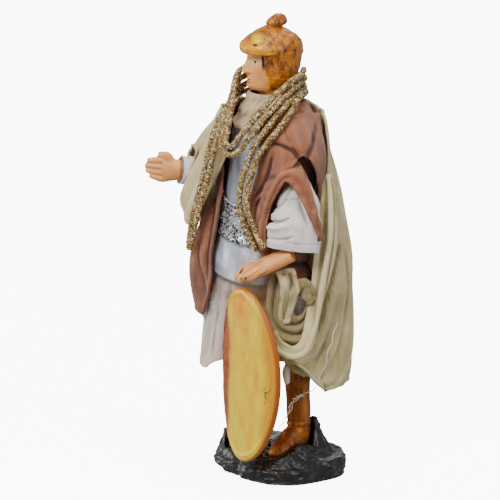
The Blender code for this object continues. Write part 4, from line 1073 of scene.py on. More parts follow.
def coat_sleeve(name, sleeve, lines, finish, slot, node):
    """A wide sleeve: cloth that lies on the coat at its sides and stands out over the arm between them."""
    first, last, ends = sleeve[0], sleeve[1], sleeve[4]
    across = np.linspace(0, 1, 126)[None, :]
    down = np.linspace(0, 1, 84)[:, None]
    degrees = first + (last - first) * across + 0 * down
    top = 1.5 + 0.4 * (2 * across - 1) ** 2
    place = top + (through(ends, across[0] * (len(ends) - 1))[None, :] - top) * down
    lift = CLOTH + coat_lift(degrees, place) + GAP + sleeve_lift(sleeve, degrees, place) + CLOTH
    outer = layer(COAT, degrees, place, lift)
    flow = stacked(degrees / 8, place, 0.0)
    free = smoothstep(6 * across) * smoothstep(6 - 6 * across)
    ripple = (0.00014 * grain(flow, 2.2, 31) + 0.00005 * grain(flow * (2.0, 0.6, 1), 2.0, 32)) * free
    outward = 1.0 if last < first else -1.0
    outer -= square_to(outer) * outward * (creases(outer, lines) * free + ripple)[..., None]
    return add_cloth(name, outer, finish, slot, [node], 0.0003, creases(outer, SLEEVE_SHADES), outward)


# The near sleeve's cloth is a copy paled by painted light; the far sleeve's cloth is not.
near_lit_finish = coat_finish("brown_sleeve_near_lit", 0.08)
near_sleeve = coat_sleeve("near_sleeve", LEFT_SLEEVE, SLEEVE_FOLDS, near_lit_finish, "coat_cloth_left",
                          "coat_sleeve_left")
far = coat_finish("brown_sleeve_far")
far_sleeve = coat_sleeve("far_sleeve", RIGHT_SLEEVE, [], far, "coat_cloth_right", "coat_sleeve_right")

# The near coat sleeve is turned back at its mouth: a facing of the coat's cloth, made tan by painted light,
# folds out over the shirt sleeve like a hood and runs down behind it. The upper arm's dark hollow shows
# between the facing and the sleeve.


def drape(paths, rows, columns):
    """A grid of points through paths of (x, y, depth): pixels, and millimetres level towards the camera."""
    lines = np.array([evenly(path, rows) for path in paths])
    grid = np.swapaxes(through(lines, np.linspace(0, len(paths) - 1, columns)), 0, 1)
    return from_picture(grid[..., 0], grid[..., 1], grid[..., 2] * MM)


def to_camera(grid):
    """Unit directions square to a grid, on the side that the photograph shows."""
    normal = square_to(grid)
    return normal * np.sign((normal @ TO_CAMERA).mean())


FACING_PATHS = [
    [(267, 250, 19), (264, 232, 19.5), (268, 210, 20), (275, 195, 20.5), (284, 183, 21), (292, 188, 21.5),
     (301, 203, 22.6), (311, 224, 23), (318, 241, 22)],
    [(263, 250, 18), (261, 230, 18.8), (265, 208, 19.4), (272, 190, 19.8), (283, 176, 20.6),
     (297, 178, 21.4), (305, 197, 22.2), (314, 219, 22.2), (320, 241, 21)],
    [(259, 248, 14), (257, 228, 14.6), (261, 204, 15.4), (268, 183, 15.8), (281, 166, 16.4),
     (297, 162, 17), (308, 180, 18.4), (315, 206, 19), (322, 240, 18)],
]
grid = drape(FACING_PATHS, 130, 38)
across = np.linspace(0, 1, 38)[None, :]
along = np.linspace(0, 1, 130)[:, None]
normal = to_camera(grid)
rolls = 0.0004 * (np.sin(math.pi * across) + np.cos(across * 11 + 2.0 * np.sin(along * 6)))
grid = grid + normal * (rolls + 0.00015 * grain(grid, 0.003, 33))[..., None]
# The facing is the coat's cloth made paler with painted light.
facing_lit_finish = coat_finish("sleeve_facing", 0.22)
facing_cloth = add_cloth("sleeve_facing", grid, facing_lit_finish, "coat_cloth_left", hem=0.0003)

# The cape is beige-olive voile with a paler hem. It hangs from the shoulders to the calves, its front
# corner is tucked up at the left hip in a swag of round folds, and its right side is thrown over the
# forearm.

# Threads of the cape from its tucked corner round the back to the right arm: each from the shoulder down,
# in millimetres to the photograph's right, towards its camera, and up.
CAPE_THREADS = [
    [(12.4, 2.4, 101), (13.4, 3.8, 94), (13.8, 5.6, 84), (13.8, 7.5, 74), (13.2, 10, 61), (11.8, 12.4, 52),
     (9.4, 14.2, 47.6), (6.4, 15.4, 49), (3.8, 16.2, 53), (2.6, 16.6, 57.6)],
    [(12.8, 0.6, 101.6), (14.2, 2.5, 94), (15.6, 4, 84), (16, 6.2, 74), (15, 8.8, 60), (12.6, 11.6, 47),
     (8.6, 14.2, 39.2), (4.6, 15.4, 40), (1.6, 15.9, 45), (0.2, 16.2, 50.5)],
    [(12.2, -1.2, 102.2), (14.2, 1.4, 94), (16.4, 2.8, 84), (17.4, 4.6, 74), (17.6, 6.6, 60),
     (16, 8.8, 46), (12, 12, 35.6), (7.2, 14.2, 33), (3, 15.2, 37), (-0.2, 15.8, 43)],
    [(11, -3.4, 102.6), (14, -0.2, 94), (16.9, 1, 84), (18.5, 2.2, 74), (19.6, 3.4, 60), (19.8, 5, 46),
     (17.2, 7.6, 34.6), (12.6, 10.6, 28.8), (8, 13, 30), (3.4, 14.4, 35)],
    [(10.4, -4.6, 102.8), (13.8, -1.6, 94), (17, -0.3, 84), (18.9, 0.6, 74), (20.4, 1.6, 60),
     (20.9, 2.8, 46), (20.2, 4.4, 35), (17.6, 6.8, 28.8), (14, 8.6, 26.8), (10.2, 10.6, 26.8)],
    [(9.4, -6, 103), (13.3, -3.4, 94), (16.6, -2.2, 84), (18.6, -1.6, 74), (20.2, -0.6, 60), (21, 0.4, 48),
     (21.3, 1.5, 38), (20.6, 2.6, 31), (19.4, 3.8, 27.6), (17.8, 4.9, 25.6)],
    [(7.6, -8.4, 103.2), (12.2, -6.6, 94), (14.6, -7.1, 84), (16.4, -7.4, 74), (18.4, -7.8, 60),
     (19.6, -7.6, 48), (20, -6.8, 38), (20.4, -5.6, 31), (20.2, -4.8, 28), (19.8, -4.2, 25.6)],
    [(6, -9.6, 103.4), (9.4, -11.6, 94), (10.6, -13.2, 84), (11.4, -14.2, 74), (12.6, -15.6, 60),
     (13.4, -16.4, 48), (14, -17, 38), (14.4, -17.4, 31), (14.6, -17.4, 28), (14.6, -17.4, 25.2)],
    [(2.4, -11.6, 103.2), (3, -15.2, 94), (3.2, -16.8, 84), (3.4, -17.8, 74), (4, -19.2, 60),
     (4.6, -20.2, 48), (5, -20.6, 38), (5.2, -20.8, 31), (5.2, -20.8, 28), (5.2, -20.8, 25.4)],
    [(-0.6, -12.4, 102.8), (-3, -16.2, 95), (-3.8, -17.8, 85), (-4.2, -18.6, 75), (-4.6, -19.6, 61),
     (-4.6, -20.2, 49), (-4.4, -20.4, 40), (-4.4, -20.6, 33), (-4.4, -20.6, 29), (-4.4, -20.6, 26.6)],
    [(-3.2, -12.2, 102.2), (-6.8, -16, 97), (-9.8, -18.6, 90), (-11.6, -20, 82), (-12.6, -20.4, 72),
     (-12.8, -20.4, 62), (-12.8, -20.2, 53), (-12.6, -20, 46), (-12.4, -19.8, 40), (-12.2, -19.6, 35)],
    [(-4.8, -11.2, 101.8), (-8.4, -14.2, 99), (-12.4, -16.6, 95.4), (-15.4, -18, 91), (-17.4, -18.8, 86),
     (-19, -18.8, 81), (-19.8, -18, 77), (-20, -17.2, 72.5), (-19.4, -16.6, 67), (-18.6, -16.4, 61)],
    [(-5.6, -10.4, 101.8), (-9.2, -13, 99.8), (-12.8, -15, 97), (-15.6, -16.2, 94), (-17.8, -16.8, 91.4),
     (-19.4, -17, 89), (-20.6, -16.8, 87), (-21.4, -16.4, 85.4), (-22, -16, 84.2), (-22.4, -15.6, 83.2)],
    [(-6.4, -9.4, 101.8), (-9.6, -11.4, 100.2), (-12.4, -12.6, 98.2), (-14.6, -13, 96), (-16.4, -13, 94),
     (-17.8, -12.6, 92.2), (-19, -12, 90.8), (-19.8, -11.2, 89.8), (-20.6, -10.2, 89.2),
     (-21.4, -9.4, 88.8)],
    [(-8.6, -7.8, 101), (-11, -8.6, 100), (-13.2, -9.2, 98.2), (-15.2, -9.4, 96), (-16.8, -9.2, 93.8),
     (-18.2, -8.6, 91.6), (-19.2, -8, 90), (-20, -7.4, 88.8), (-20.6, -6.9, 88), (-21.2, -6.4, 87.2)],
    [(-9.8, -5.4, 100.6), (-12, -5.6, 99.4), (-14, -5.6, 97.6), (-15.6, -5.6, 95.4), (-16.9, -5.4, 92.6),
     (-18.2, -5, 89.6), (-19.8, -4.6, 86.4), (-21.6, -4.2, 83), (-23.2, -3.6, 79.6), (-24.3, -2.8, 76)],
    [(-10.8, -1.4, 99.8), (-12.2, -0.2, 98), (-13.4, 0.8, 95.6), (-14.6, 1.4, 92.8), (-15.8, 1.6, 89.4),
     (-17.2, 1.4, 85.6), (-18.8, 1, 81.8), (-20.6, 0.6, 78), (-22, 0.2, 74.2), (-22.8, 0.2, 70.6)],
    [(-10.2, 2.6, 98.4), (-10.8, 4.2, 96.4), (-11.4, 5.2, 94.2), (-11.8, 5.8, 92), (-13, 6, 88.6),
     (-14.4, 5.8, 85), (-16, 5.2, 81), (-17.8, 4.4, 77), (-19.6, 3.4, 73), (-21.2, 2.4, 69.2)],
]


CAPE_FOLDS = [
    (-0.0026, 2.4, [(340, 246), (334, 276), (327, 302), (320, 325), (310, 345)]),
    (0.0007, 3.0, [(336, 196), (344, 226), (349, 256), (346, 286), (339, 316), (328, 342)]),
    (-0.0004, 2.6, [(348, 300), (344, 326), (340, 352), (338, 376)]),
    (0.0005, 3.0, [(342, 322), (333, 350), (326, 378)]),
    (-0.0005, 2.2, [(330, 330), (322, 352), (314, 372)]),
    (0.0005, 2.6, [(318, 344), (308, 360), (298, 366)]),
    (-0.0005, 2.2, [(326, 160), (325, 190), (323, 214)]),
    (0.0005, 2.4, [(322, 236), (320, 262), (315, 290), (309, 314)]),
    (-0.0008, 1.8, [(316, 250), (312, 280), (305, 304)]),
    (-0.0005, 2.4, [(207, 136), (198, 152), (190, 168)]),
    (0.0005, 2.4, [(213, 140), (206, 158), (200, 178)]),
]


def voile(name, light):
    """Beige-olive voile: a fine weave, clouds of tone and fold streaks along its fall; light adds painted
    light, and below 0 painted shade.
    """
    cloth = Finish(name, 0.8, {"Sheen Weight": 0.35, "Sheen Roughness": 0.45})
    where = cloth.place()
    weave = woven(cloth, 0.00030)
    clouds = cloth.noise(where, 0.011, 3.0, 0.55)
    streaks = cloth.noise(cloth.stretched(where, (1.0, 1.0, 0.2)), 0.0024, 4.0, 0.6)
    # dark is painted shade: it darkens this copy and deepens the painted shade of its folds.
    dark = max(-light, 0)
    colour = cloth.mix(clouds.over(0.3, 0.7), tint(190, 178, 142), tint(228, 218, 186))
    coats = (
        (streaks.over(0.45, 0.75) * 0.4 + max(light, 0), 238, 230, 202),
        (dark * 2, 122, 98, 62),
        (weave * 0.2, 232, 224, 196),
    )
    colour = cloth.layers(colour, *coats)
    cloth.colour(cloth.creased(colour, tint(92, 78, 52), tint(236, 228, 202), 0.55 + dark))
    cloth.set(Roughness=0.72 + 0.2 * weave)
    cloth.bump(weave + streaks, 0.00006)
    return cloth


SWAG_FOLD, HANGING_FOLD, ARM_FOLD = 0.0005, 0.0007, 0.0006  # heights of the cape's folds
threads = np.array(CAPE_THREADS) * MM
rows, columns, finest = 112, 206, 900
last_key = threads.shape[1] - 1
thread = np.linspace(0, len(CAPE_THREADS) - 1, columns)[None, :]
end = last_key - 2.4 * smoothstep((3.0 - thread) / 2.0)  # the tucked corner ends inside the swag
row = np.linspace(0, 1, rows)[:, None] * end
fine = evenly(np.swapaxes(evenly(threads, columns), 0, 1), finest)
steps = np.round(row / last_key * (finest - 1)).astype(int)
down = np.take_along_axis(fine, np.broadcast_to(steps[..., None], (rows, columns, 3)), axis=0)
grid = corner(*np.moveaxis(down, -1, 0))
tucked = smoothstep((3.6 - thread) / 1.2) * smoothstep((row - 3.5) / 2.5)
bare = grid
grid = outside_coat(grid, GAP + 0.0002)
grid += (bare - grid) * tucked[..., None]
outward = square_to(grid)
outer = grid + outward * CLOTH
swag = SWAG_FOLD * tucked * np.cos(thread * 7.2 + 0.5)
hang = smoothstep((row - 1) / 5) * smoothstep((thread - 3.0) / 2) * smoothstep((13 - thread) / 2)
hang *= 0.45 + 0.55 * smoothstep((thread - 6.5) / 1.5)
hanging = np.cos(thread * 4.2 + 0.6 * np.sin(row * 0.7)) + 0.5 * np.cos(thread * 9.5 + 1.0)
hanging = hanging * HANGING_FOLD * hang
thrown = smoothstep((thread - 12) / 1.5)
over_arm = ARM_FOLD * thrown * np.cos(thread * 6.5 + row * 0.35)
flow = stacked(thread * 1.1, row * 0.42, 0.0)
ripple = 0.00014 * grain(flow, 1.6, 41) + 0.00008 * grain(flow * (2.4, 0.7, 1), 1.6, 42)
outer += outward * (swag + hanging + over_arm + ripple + creases(outer, CAPE_FOLDS))[..., None]
outer -= TOWARDS * (0.0012 * tucked)[..., None]
outer += (outside_coat(outer, GAP + 0.0004) - outer) * (1 - tucked)[..., None]
beige = voile("beige_voile", 0.0)
# Lines of painted shade: in the crevice between the swag and the cape, and in the cape's folds.
CAPE_SHADES = [
    (1.0, 2.2, [(339, 246), (334, 276), (327, 302), (320, 325), (309, 346)]),
    (0.5, 2.4, [(318, 330), (326, 300), (333, 272)]),
    (0.5, 2.0, [(345, 250), (348, 280), (344, 312)]),
    (0.4, 2.4, [(300, 362), (316, 356), (330, 340)]),
]
shade = creases(outer, CAPE_SHADES)
cape = add_cloth("voile_cape", outer, beige, "cape_cloth", ["cape"], 0.0004, shade)

# The tucked corner of the cape hangs as a swag: a broad roll of the hem comes down from the shoulder,
# turns up behind the shield, and holds two smaller rolls and a crumpled loop of the cloth inside it.

SWAG_PATHS = [
    [(323, 178, 10), (321, 208, 12.4), (317.5, 240, 14), (314, 275, 15.6), (310.5, 302, 17),
     (307, 325, 18.2), (302, 341, 19.2), (292, 348, 19.8), (281, 343, 20), (274, 330, 19.6)],
    [(327, 176, 11), (328, 206, 14.4), (327, 240, 16.6), (322, 275, 18.4), (317, 303, 19.6),
     (311.5, 329, 20.6), (304, 347, 21.2), (292, 353, 21.4), (280, 348, 21.4), (271, 335, 20.8)],
    [(332, 174, 10.4), (336, 205, 13.4), (337, 238, 15.6), (331, 275, 17.4), (323, 304, 18.4),
     (314, 331, 19.4), (307, 353, 20), (292, 360, 20.2), (278, 354, 20.2), (268, 341, 19.8)],
]
TUCK_PATHS = [
    [(292, 270, 14.6), (291, 290, 15.6), (289, 304, 16.4), (291, 314, 16.6), (298, 317, 16.4),
     (305, 308, 15.6), (310, 290, 14.2)],
    [(284, 268, 15.2), (281, 290, 16.4), (281, 308, 17.2), (286, 322, 17.6), (298, 326, 17.2),
     (307, 316, 16.2), (312, 292, 14.6)],
    [(276, 270, 15.2), (272, 292, 16.6), (272, 312, 17.4), (279, 328, 18), (296, 335, 17.8),
     (307, 326, 16.6), (313, 298, 14.8)],
    [(270, 276, 14.6), (266, 298, 16), (268, 318, 16.8), (276, 336, 17.4), (294, 343, 17.2),
     (306, 335, 16.2), (312, 310, 14.6)],
]
LOOP_PATHS = [
    [(276, 272, 17.8), (280, 280, 18.6), (282, 292, 19), (280, 306, 18.8), (280, 322, 18.2)],
    [(283, 269, 18.4), (287, 279, 19.6), (289, 292, 20.2), (286, 306, 19.8), (284, 323, 18.8)],
    [(292, 269, 17.6), (296, 277, 18.4), (297, 288, 18.6), (293, 300, 18.2), (288, 318, 17.8)],
]
KNOT_PATHS = [
    [(297, 280, 16.6), (307, 281, 17), (313, 290, 16.8), (316, 299, 16.4)],
    [(297, 287, 17.6), (304, 288, 18.2), (309, 293, 18.2), (313, 301, 17.8)],
    [(299, 294, 16.6), (303, 296, 17.2), (307, 299, 17.4), (310, 304, 17)],
]


def add_roll(name, paths, rolls, depth, finish, seed, rows=150, columns=56):
    """Cloth along paths of the photograph, with so many rolls across it, each that high, and creases."""
    grid = drape(paths, rows, columns)
    across = np.linspace(0, 1, columns)[None, :]
    along = np.linspace(0, 1, rows)[:, None]
    wander = 0.9 * np.sin(along * 5 + seed) + 0.5 * np.sin(along * 13 + 2 * seed + 2 * across)
    wave = np.cos(2 * math.pi * rolls * across + wander)
    creased = grain(stacked(across * 3, along * 5, 0.0), 1.0, seed)
    height = depth * np.sign(wave) * np.abs(wave) ** 0.7 + 0.12 * depth * creased
    return add_cloth(name, grid + to_camera(grid) * height[..., None], finish, "cape_cloth", hem=0.0007)


# The cape's tucked folds use a copy of its voile darkened by painted shade.
olive = voile("voile_in_painted_shade", -0.26)
swag = add_roll("cape_swag", SWAG_PATHS, 1.5, 0.0008, beige, 1)
tuck = add_roll("cape_tuck", TUCK_PATHS, 2.5, 0.0009, olive, 2)
loop = add_roll("cape_loop", LOOP_PATHS, 1.0, 0.0007, olive, 3, 90, 46)
knot = add_roll("cape_knot", KNOT_PATHS, 1.0, 0.0005, olive, 4, 60, 36)

# A pulled thread hangs from the cape's hem, stiff with glue, and is caught behind the shield. A tab of
# dried glue sits above it, behind the shield's edge.

THREAD_PATHS = [
    [(336, 322, 17.6), (331, 340, 18.6), (326, 358, 18.8), (319, 378, 18), (315, 387, 16), (303, 395, 12),
     (294, 401, 11.5), (290, 412, 11.5), (281, 424, 12), (277, 433, 12.5), (268, 440, 13)],
    [(303, 395, 12), (297, 397, 12.5), (291, 403, 13), (288, 412, 13.4)],
]
TAB_PATHS = [
    [(283, 366, 13), (282, 374, 13.4), (284, 383, 13.2)],
    [(287, 365, 13.6), (286, 374, 14.2), (287, 384, 13.8)],
    [(290, 366, 13.2), (290, 374, 13.6), (290, 382, 13.4)],
]
THREAD_RADIUS = 0.00011
white = Finish("glue_thread", 0.5).colour(tint(236, 232, 224))
add_cloth("glue_tab", drape(TAB_PATHS, 24, 12), white, "cape_cloth")
around = np.linspace(0, 2 * math.pi, 9)[None, :, None]
for number, keys in enumerate(THREAD_PATHS):
    line = np.array(evenly(keys, 160))
    line[:, :2] += 0.9 * stacked(np.cos(np.arange(160) * 0.35), np.sin(np.arange(160) * 0.22))
    route = from_picture(line[:, 0], line[:, 1], line[:, 2] * MM)
    side = unit(np.cross(np.gradient(route, axis=0), TO_CAMERA))
    ring = route[:, None] + THREAD_RADIUS * (np.cos(around) * side[:, None] + np.sin(around) * TO_CAMERA)
    add_turned(f"glue_thread_{number}", ring, white, "cape_cloth")

# The two cords are knitted gold lurex, 1.8 mm thick. The long one hangs doubled as a stole, its bight at
# the right hip; the short one is wound twice round the neck and crosses the breast.

CORD_DIAMETER = 0.0018
FACET = 0.0005
PITCH = CORD_DIAMETER + 0.0005
# Stretches of the cords' lines, in millimetres as the cape's threads.
NEAR_LINE = [(-5.2, 17, 66.2), (-7.8, 16.4, 71.6), (-9.6, 15.6, 77.4), (-9.7, 14.8, 83.2),
             (-8.4, 14.4, 89), (-6, 13.8, 94.8)]
SHOULDER_LINE = [(-1.4, 12.4, 100.8), (2.4, 10, 105.2), (5.6, 5.8, 107.8), (8, 0.6, 108.8)]
NECK_LINE = [(8.6, -4.4, 109.2), (5, -8.6, 109.4), (0, -9.9, 109.4), (-5, -8.8, 109.2)]
FAR_SHOULDER_LINE = [(-8.4, -4.6, 108.8), (-10.6, 1.8, 107), (-12.4, 6.2, 103.2), (-13.8, 9, 98.2)]
FAR_LINE = [(-15.2, 9.8, 92.6), (-16.6, 9.8, 86.2), (-18.4, 9.2, 79.6), (-20.2, 8.4, 73), (-21.2, 7.8, 68)]
BREAST_LINE = [(-14.4, 11.4, 93.6), (-11.4, 13.8, 91.4), (-8.2, 15, 93.2), (-5, 14.5, 97)]


def strand(line, side):
    """Points of one strand: the line, moved sideways by side pitches, square to the line and to the body."""
    points = corner(*(np.array(line) * MM).T)
    return points + unit(np.cross(np.gradient(points, axis=0), points * (1.0, 1.0, 0.0))) * PITCH * side


def stole_route():
    """The long cord: bare ends under the left hand, over both shoulders, and its bight at the right hip."""
    line = NEAR_LINE + SHOULDER_LINE + NECK_LINE + FAR_SHOULDER_LINE + FAR_LINE
    inner, outer = strand(line, 0.5), strand(line, 1.5)
    middle = (inner[-1] + outer[-1]) / 2
    bight = middle + (inner[-1] - inner[-2] + outer[-1] - outer[-2]) * 0.40
    return np.array([*inner, bight, *outer[::-1]])


def necklace_route():
    """The short cord, wound twice: both turns cross the breast, and the ends are behind the neck."""
    turn = NECK_LINE[2:] + FAR_SHOULDER_LINE + BREAST_LINE + SHOULDER_LINE + NECK_LINE[:2]
    first, second = strand(turn, -0.5), strand(turn, -1.5)
    return np.array([*first, *second[:-1]])


def lurex(name):
    """Metallic gold yarn: its stitches run from dark copper to pale gold, a few with painted glints and some
    with painted shade of the gaps between yarns.
    """
    yarn = Finish(name, 0.3, {"Metallic": 0.35})
    where = yarn.place()
    v = yarn.split(yarn.cloth())[1]
    red, green, blue = yarn.split(yarn.cells(where, 0.00034))
    patch = yarn.noise(where, 0.0014, 3.0, 0.6)
    colour = yarn.mix((red * 0.7 + patch * 0.5).over(0.25, 0.95), tint(126, 102, 72), tint(214, 190, 148))
    # Painted glints on a few cells, and painted shade, for the gaps between the yarns, on others.
    coats = ((green.over(0.80, 0.88) * 0.9, 255, 248, 228), (blue.over(0.62, 0.72) * 0.85, 72, 52, 36))
    yarn.colour(yarn.layers(colour, *coats))
    yarn.set(Roughness=0.20 + 0.35 * blue)
    yarn.bump((v * (2 * math.pi / 0.00022)).wave(), 0.00006)
    return yarn


YARNS = 8
YARN_SIDES = 6
YARN_WIDTH, YARN_DEPTH = 0.00036, 0.00030  # half a yarn's section, along the cord's surface and square to it
YARN_STEP = 0.00037  # length of the cord from one ring of a yarn to the next
INSET = 0.00034  # how deep the middle of a yarn lies under the cord's surface
SWING = 0.00014  # how far a yarn moves in and out where it crosses others
STITCH = 0.0038  # length of one turn of a yarn round the cord


def add_cord(name, route, node, **facts):
    """A knitted cord: eight yarns wind round its line, half of them each way, over and under each other.

    A yarn's middle is at line + r (cos a side + sin a other), where a runs with the length, and r swings at
    the crossings. At each end the yarns are drawn together.
    """
    fine = outside_coat(evenly(route, 60 * len(route)), GAP + CORD_DIAMETER * 0.5 + FACET)
    length = np.concatenate([[0], np.cumsum(np.linalg.norm(np.diff(fine, axis=0), axis=1))])
    spots = np.linspace(0, length[-1], int(length[-1] / YARN_STEP))
    path, line = (stacked(*(np.interp(at, length, part) for part in fine.T))
                  for at in (np.linspace(0, length[-1], 90), spots))
    for _ in range(3):
        line[1:-1] = (line[:-2] + 2 * line[1:-1] + line[2:]) / 4
    along = unit(np.gradient(line, axis=0))
    side = unit(np.cross(along, line * (1, 1, 0) + (0, 0, 1e-4)))
    other = np.cross(along, side)
    drawn = smoothstep(np.minimum(spots, length[-1] - spots) / (CORD_DIAMETER * 0.5)) * 0.9 + 0.1
    points, maps, faces = [], [], []
    around = np.linspace(0, 2 * math.pi, YARN_SIDES + 1)
    cosine, sine = np.cos(around)[None, :, None], np.sin(around)[None, :, None]
    turns = 2 * math.pi * spots / STITCH
    for yarn in range(YARNS):
        way = 1 if yarn % 2 else -1
        angle = way * turns + 2 * math.pi * (yarn // 2) / (YARNS / 2) + (0.4 if way > 0 else 0)
        swing = SWING * way * np.cos(turns * (YARNS / 2) + yarn)
        radius = (CORD_DIAMETER / 2 - INSET + swing) * drawn
        out = np.cos(angle)[:, None] * side + np.sin(angle)[:, None] * other
        middle = line + radius[:, None] * out
        track = unit(np.gradient(middle, axis=0))
        flat = unit(np.cross(track, out))
        section = flat[:, None] * cosine * YARN_WIDTH + np.cross(flat, track)[:, None] * sine * YARN_DEPTH
        ring = middle[:, None] + section * drawn[:, None, None]
        ends = [np.broadcast_to(end, ring[:1].shape) for end in (middle[:1, None], middle[-1:, None])]
        ring = np.concatenate([ends[0], ring, ends[1]])
        faces += grid_faces(*ring.shape[:2], start=sum(len(part) for part in points))
        points.append(ring.reshape(-1, 3))
        steps = np.concatenate([[0], spots, spots[-1:]])
        maps.append(stacked(around[None, :] * 0.0004, steps[:, None]).reshape(-1, 2))
    piece = add_piece(name, np.concatenate(points), faces, lurex(name), node, [node], np.concatenate(maps))
    path, length = path.tolist(), float(length[-1])


LAY = {"far_end": "bare", "stiffness": "limp", "lay": "hanging"}
add_cord("lurex_stole", stole_route(), "gold_cord_stole", **LAY)
add_cord("lurex_necklace", necklace_route(), "gold_cord_necklace", **LAY)

# The head is terracotta, cast in one with its helmet: painted flesh with fine dark brows and lashes, a
# flush on the cheeks, dark hair at the temples and nape, and a coppery helmet with a thick brim and a
# fluted knob.

CHIN_Z = 0.1080
HEAD_HEIGHT = 0.0173
CROWN_Z = CHIN_Z + HEAD_HEIGHT
KNOB_HEIGHT = 0.0034
HEAD_TURN = math.radians(-25)
HEAD_CENTRE = np.array([-0.0002, 0.0, 0.0])
# Stations of the skull: share of the height from the chin, half width, depth in front and depth behind.
HEAD = [
    (-0.30, 0.20, 0.17, 0.25),
    (-0.04, 0.22, 0.20, 0.28),
    (0.01, 0.24, 0.34, 0.29),
    (0.07, 0.27, 0.39, 0.31),
    (0.18, 0.31, 0.395, 0.345),
    (0.30, 0.33, 0.395, 0.39),
    (0.42, 0.345, 0.395, 0.425),
    (0.53, 0.35, 0.385, 0.44),
    (0.62, 0.36, 0.40, 0.455),
    (0.72, 0.36, 0.40, 0.445),
    (0.84, 0.31, 0.34, 0.38),
    (0.94, 0.21, 0.23, 0.25),
    (1.00, 0.12, 0.13, 0.14),
]
EYE_ANGLE, EYE_SHARE = 25.0, 0.475  # an eye lies one eye's width from the middle, half way up the head
NOSE_SHARE, MOUTH_SHARE, BROW_SHARE = 0.30, 0.175, 0.545
BRIM_SHARE = 0.585  # where the helmet's lower edge crosses the brow
HELMET, BRIM, RIM_ROLL = 0.050, 0.060, 0.018  # how far the helmet and its brim stand out, in head heights
# Features that are plain bells: height in head heights, angle from the middle and its width, share of the
# height and its width.
FEATURES = [
    (0.022, 10, 4.5, NOSE_SHARE + 0.015, 0.028),  # wings of the nose
    (-0.030, EYE_ANGLE, 13, EYE_SHARE + 0.01, 0.050),  # eye sockets
    (0.017, EYE_ANGLE, 8.5, EYE_SHARE, 0.028),  # eyeballs
    (0.014, 24, 17, BROW_SHARE, 0.022),
    (0.016, 38, 17, 0.33, 0.085),  # cheeks
    (0.016, 0, 12, MOUTH_SHARE + 0.020, 0.014),  # upper lip
    (0.018, 0, 10, MOUTH_SHARE - 0.022, 0.016),  # lower lip
    (-0.012, 0, 14, MOUTH_SHARE, 0.006),
    (0.022, 0, 15, 0.07, 0.045),  # chin
    (-0.012, 0, 12, 0.12, 0.02),
]


def head_surface(degrees, share):
    """Radius of the head in a direction, at a share of its height: an oval skull with bells for features.

    The helmet stands proud above the brow, over the ears and behind, with a rolled brim over the face.
    """
    values = through(HEAD, np.interp(share, [row[0] for row in HEAD], np.arange(len(HEAD))))
    away = facing(degrees)
    depth = np.where(away[..., 1] < 0, values[..., 2], values[..., 3])
    radius = values[..., 1] * depth / np.hypot(values[..., 1] * away[..., 1], depth * away[..., 0])
    turn = np.abs(degrees)
    features = sum(high * bump(turn, at, wide) * bump(share, level, tall)
                   for high, at, wide, level, tall in FEATURES)
    slope = smoothstep((BROW_SHARE - share) / (BROW_SHARE - NOSE_SHARE))
    below = smoothstep((share - NOSE_SHARE + 0.05) / 0.05) * smoothstep((0.60 - share) / 0.08)
    features += (0.030 + 0.070 * slope) * bump(turn, 0, 6.5 + 2.5 * slope) * below
    lid = EYE_SHARE + 0.026 - 0.00012 * (turn - EYE_ANGLE) ** 2
    features += 0.006 * bump(turn, EYE_ANGLE, 9.5) * bump(share, lid, 0.008)
    opening = smoothstep((turn - 50 - 14 * (0.55 - share)) / 5)
    guard = smoothstep((share - 0.02 - 0.16 * smoothstep((turn - 90) / 40)) / 0.04)
    above = smoothstep((share - BRIM_SHARE) / 0.014)
    brim = BRIM * bump(share, 0.70, 0.11) * smoothstep((80 - turn) / 40)
    brim += RIM_ROLL * bump(share, 0.625, 0.02) * smoothstep((90 - turn) / 30)
    covered = np.maximum(opening * guard, above)
    helmet = covered * HELMET * smoothstep((1.06 - share) / 0.3) + brim * above
    return away, radius + features * (1 - covered) + helmet, covered


columns = np.linspace(-180, 180, 225)
spread = columns - 34 * np.sin(np.radians(columns))  # closer columns on the face than behind
share = [np.linspace(-0.30, 0.0, 10)[:-1], np.linspace(0.0, 0.64, 98), np.linspace(0.64, 1.0, 40)[1:]]
share = np.concatenate(share)
degrees, heights = np.meshgrid(spread, share)
away, radius, helmet = head_surface(degrees, heights)
rings = away * (radius * HEAD_HEIGHT)[..., None]
rings[..., 2] = CHIN_Z + heights * HEAD_HEIGHT
dents = 0.00010 * grain(rings, 0.0028, 61) + 0.00005 * grain(rings, 0.0012, 62)
hammered = -0.00016 * smoothstep(grain(rings, 0.0016, 63) - 1.1)
rings += away * (helmet * (dents + hammered))[..., None]
# Stations of the knob: radius, and share of its height.
KNOB = [(0.0021, -0.02), (0.0022, 0.06), (0.0027, 0.28), (0.0024, 0.60), (0.0014, 0.90), (0.0003, 1.0)]
knob = evenly(KNOB, 28)
flutes = 0.09 * np.cos(np.radians(spread * 5)) + 0.03 * np.cos(np.radians(spread * 10 + 40))
knob_radius = knob[:, 0, None] * (1 + flutes[None] * smoothstep(knob[:, 1, None] / 0.2))
knob_rings = facing(spread)[None] * knob_radius[..., None]
knob_rings[..., 1] += (0.0010 + 0.0012 * knob[:, 1])[:, None]
knob_rings[..., 2] = (CROWN_Z + knob[:, 1] * KNOB_HEIGHT)[:, None]
rings = np.concatenate([rings, knob_rings])
head_spin = np.array(Matrix.Rotation(HEAD_TURN, 3, "Z"))
rings = rings @ head_spin.T + HEAD_CENTRE
rings[0, :, 2] = COLLAR_Z + GAP
all_heights = np.concatenate([share, 1.0 + knob[:, 1] * 0.2])
head_map = stacked(spread[None, :] / 100, all_heights[:, None])

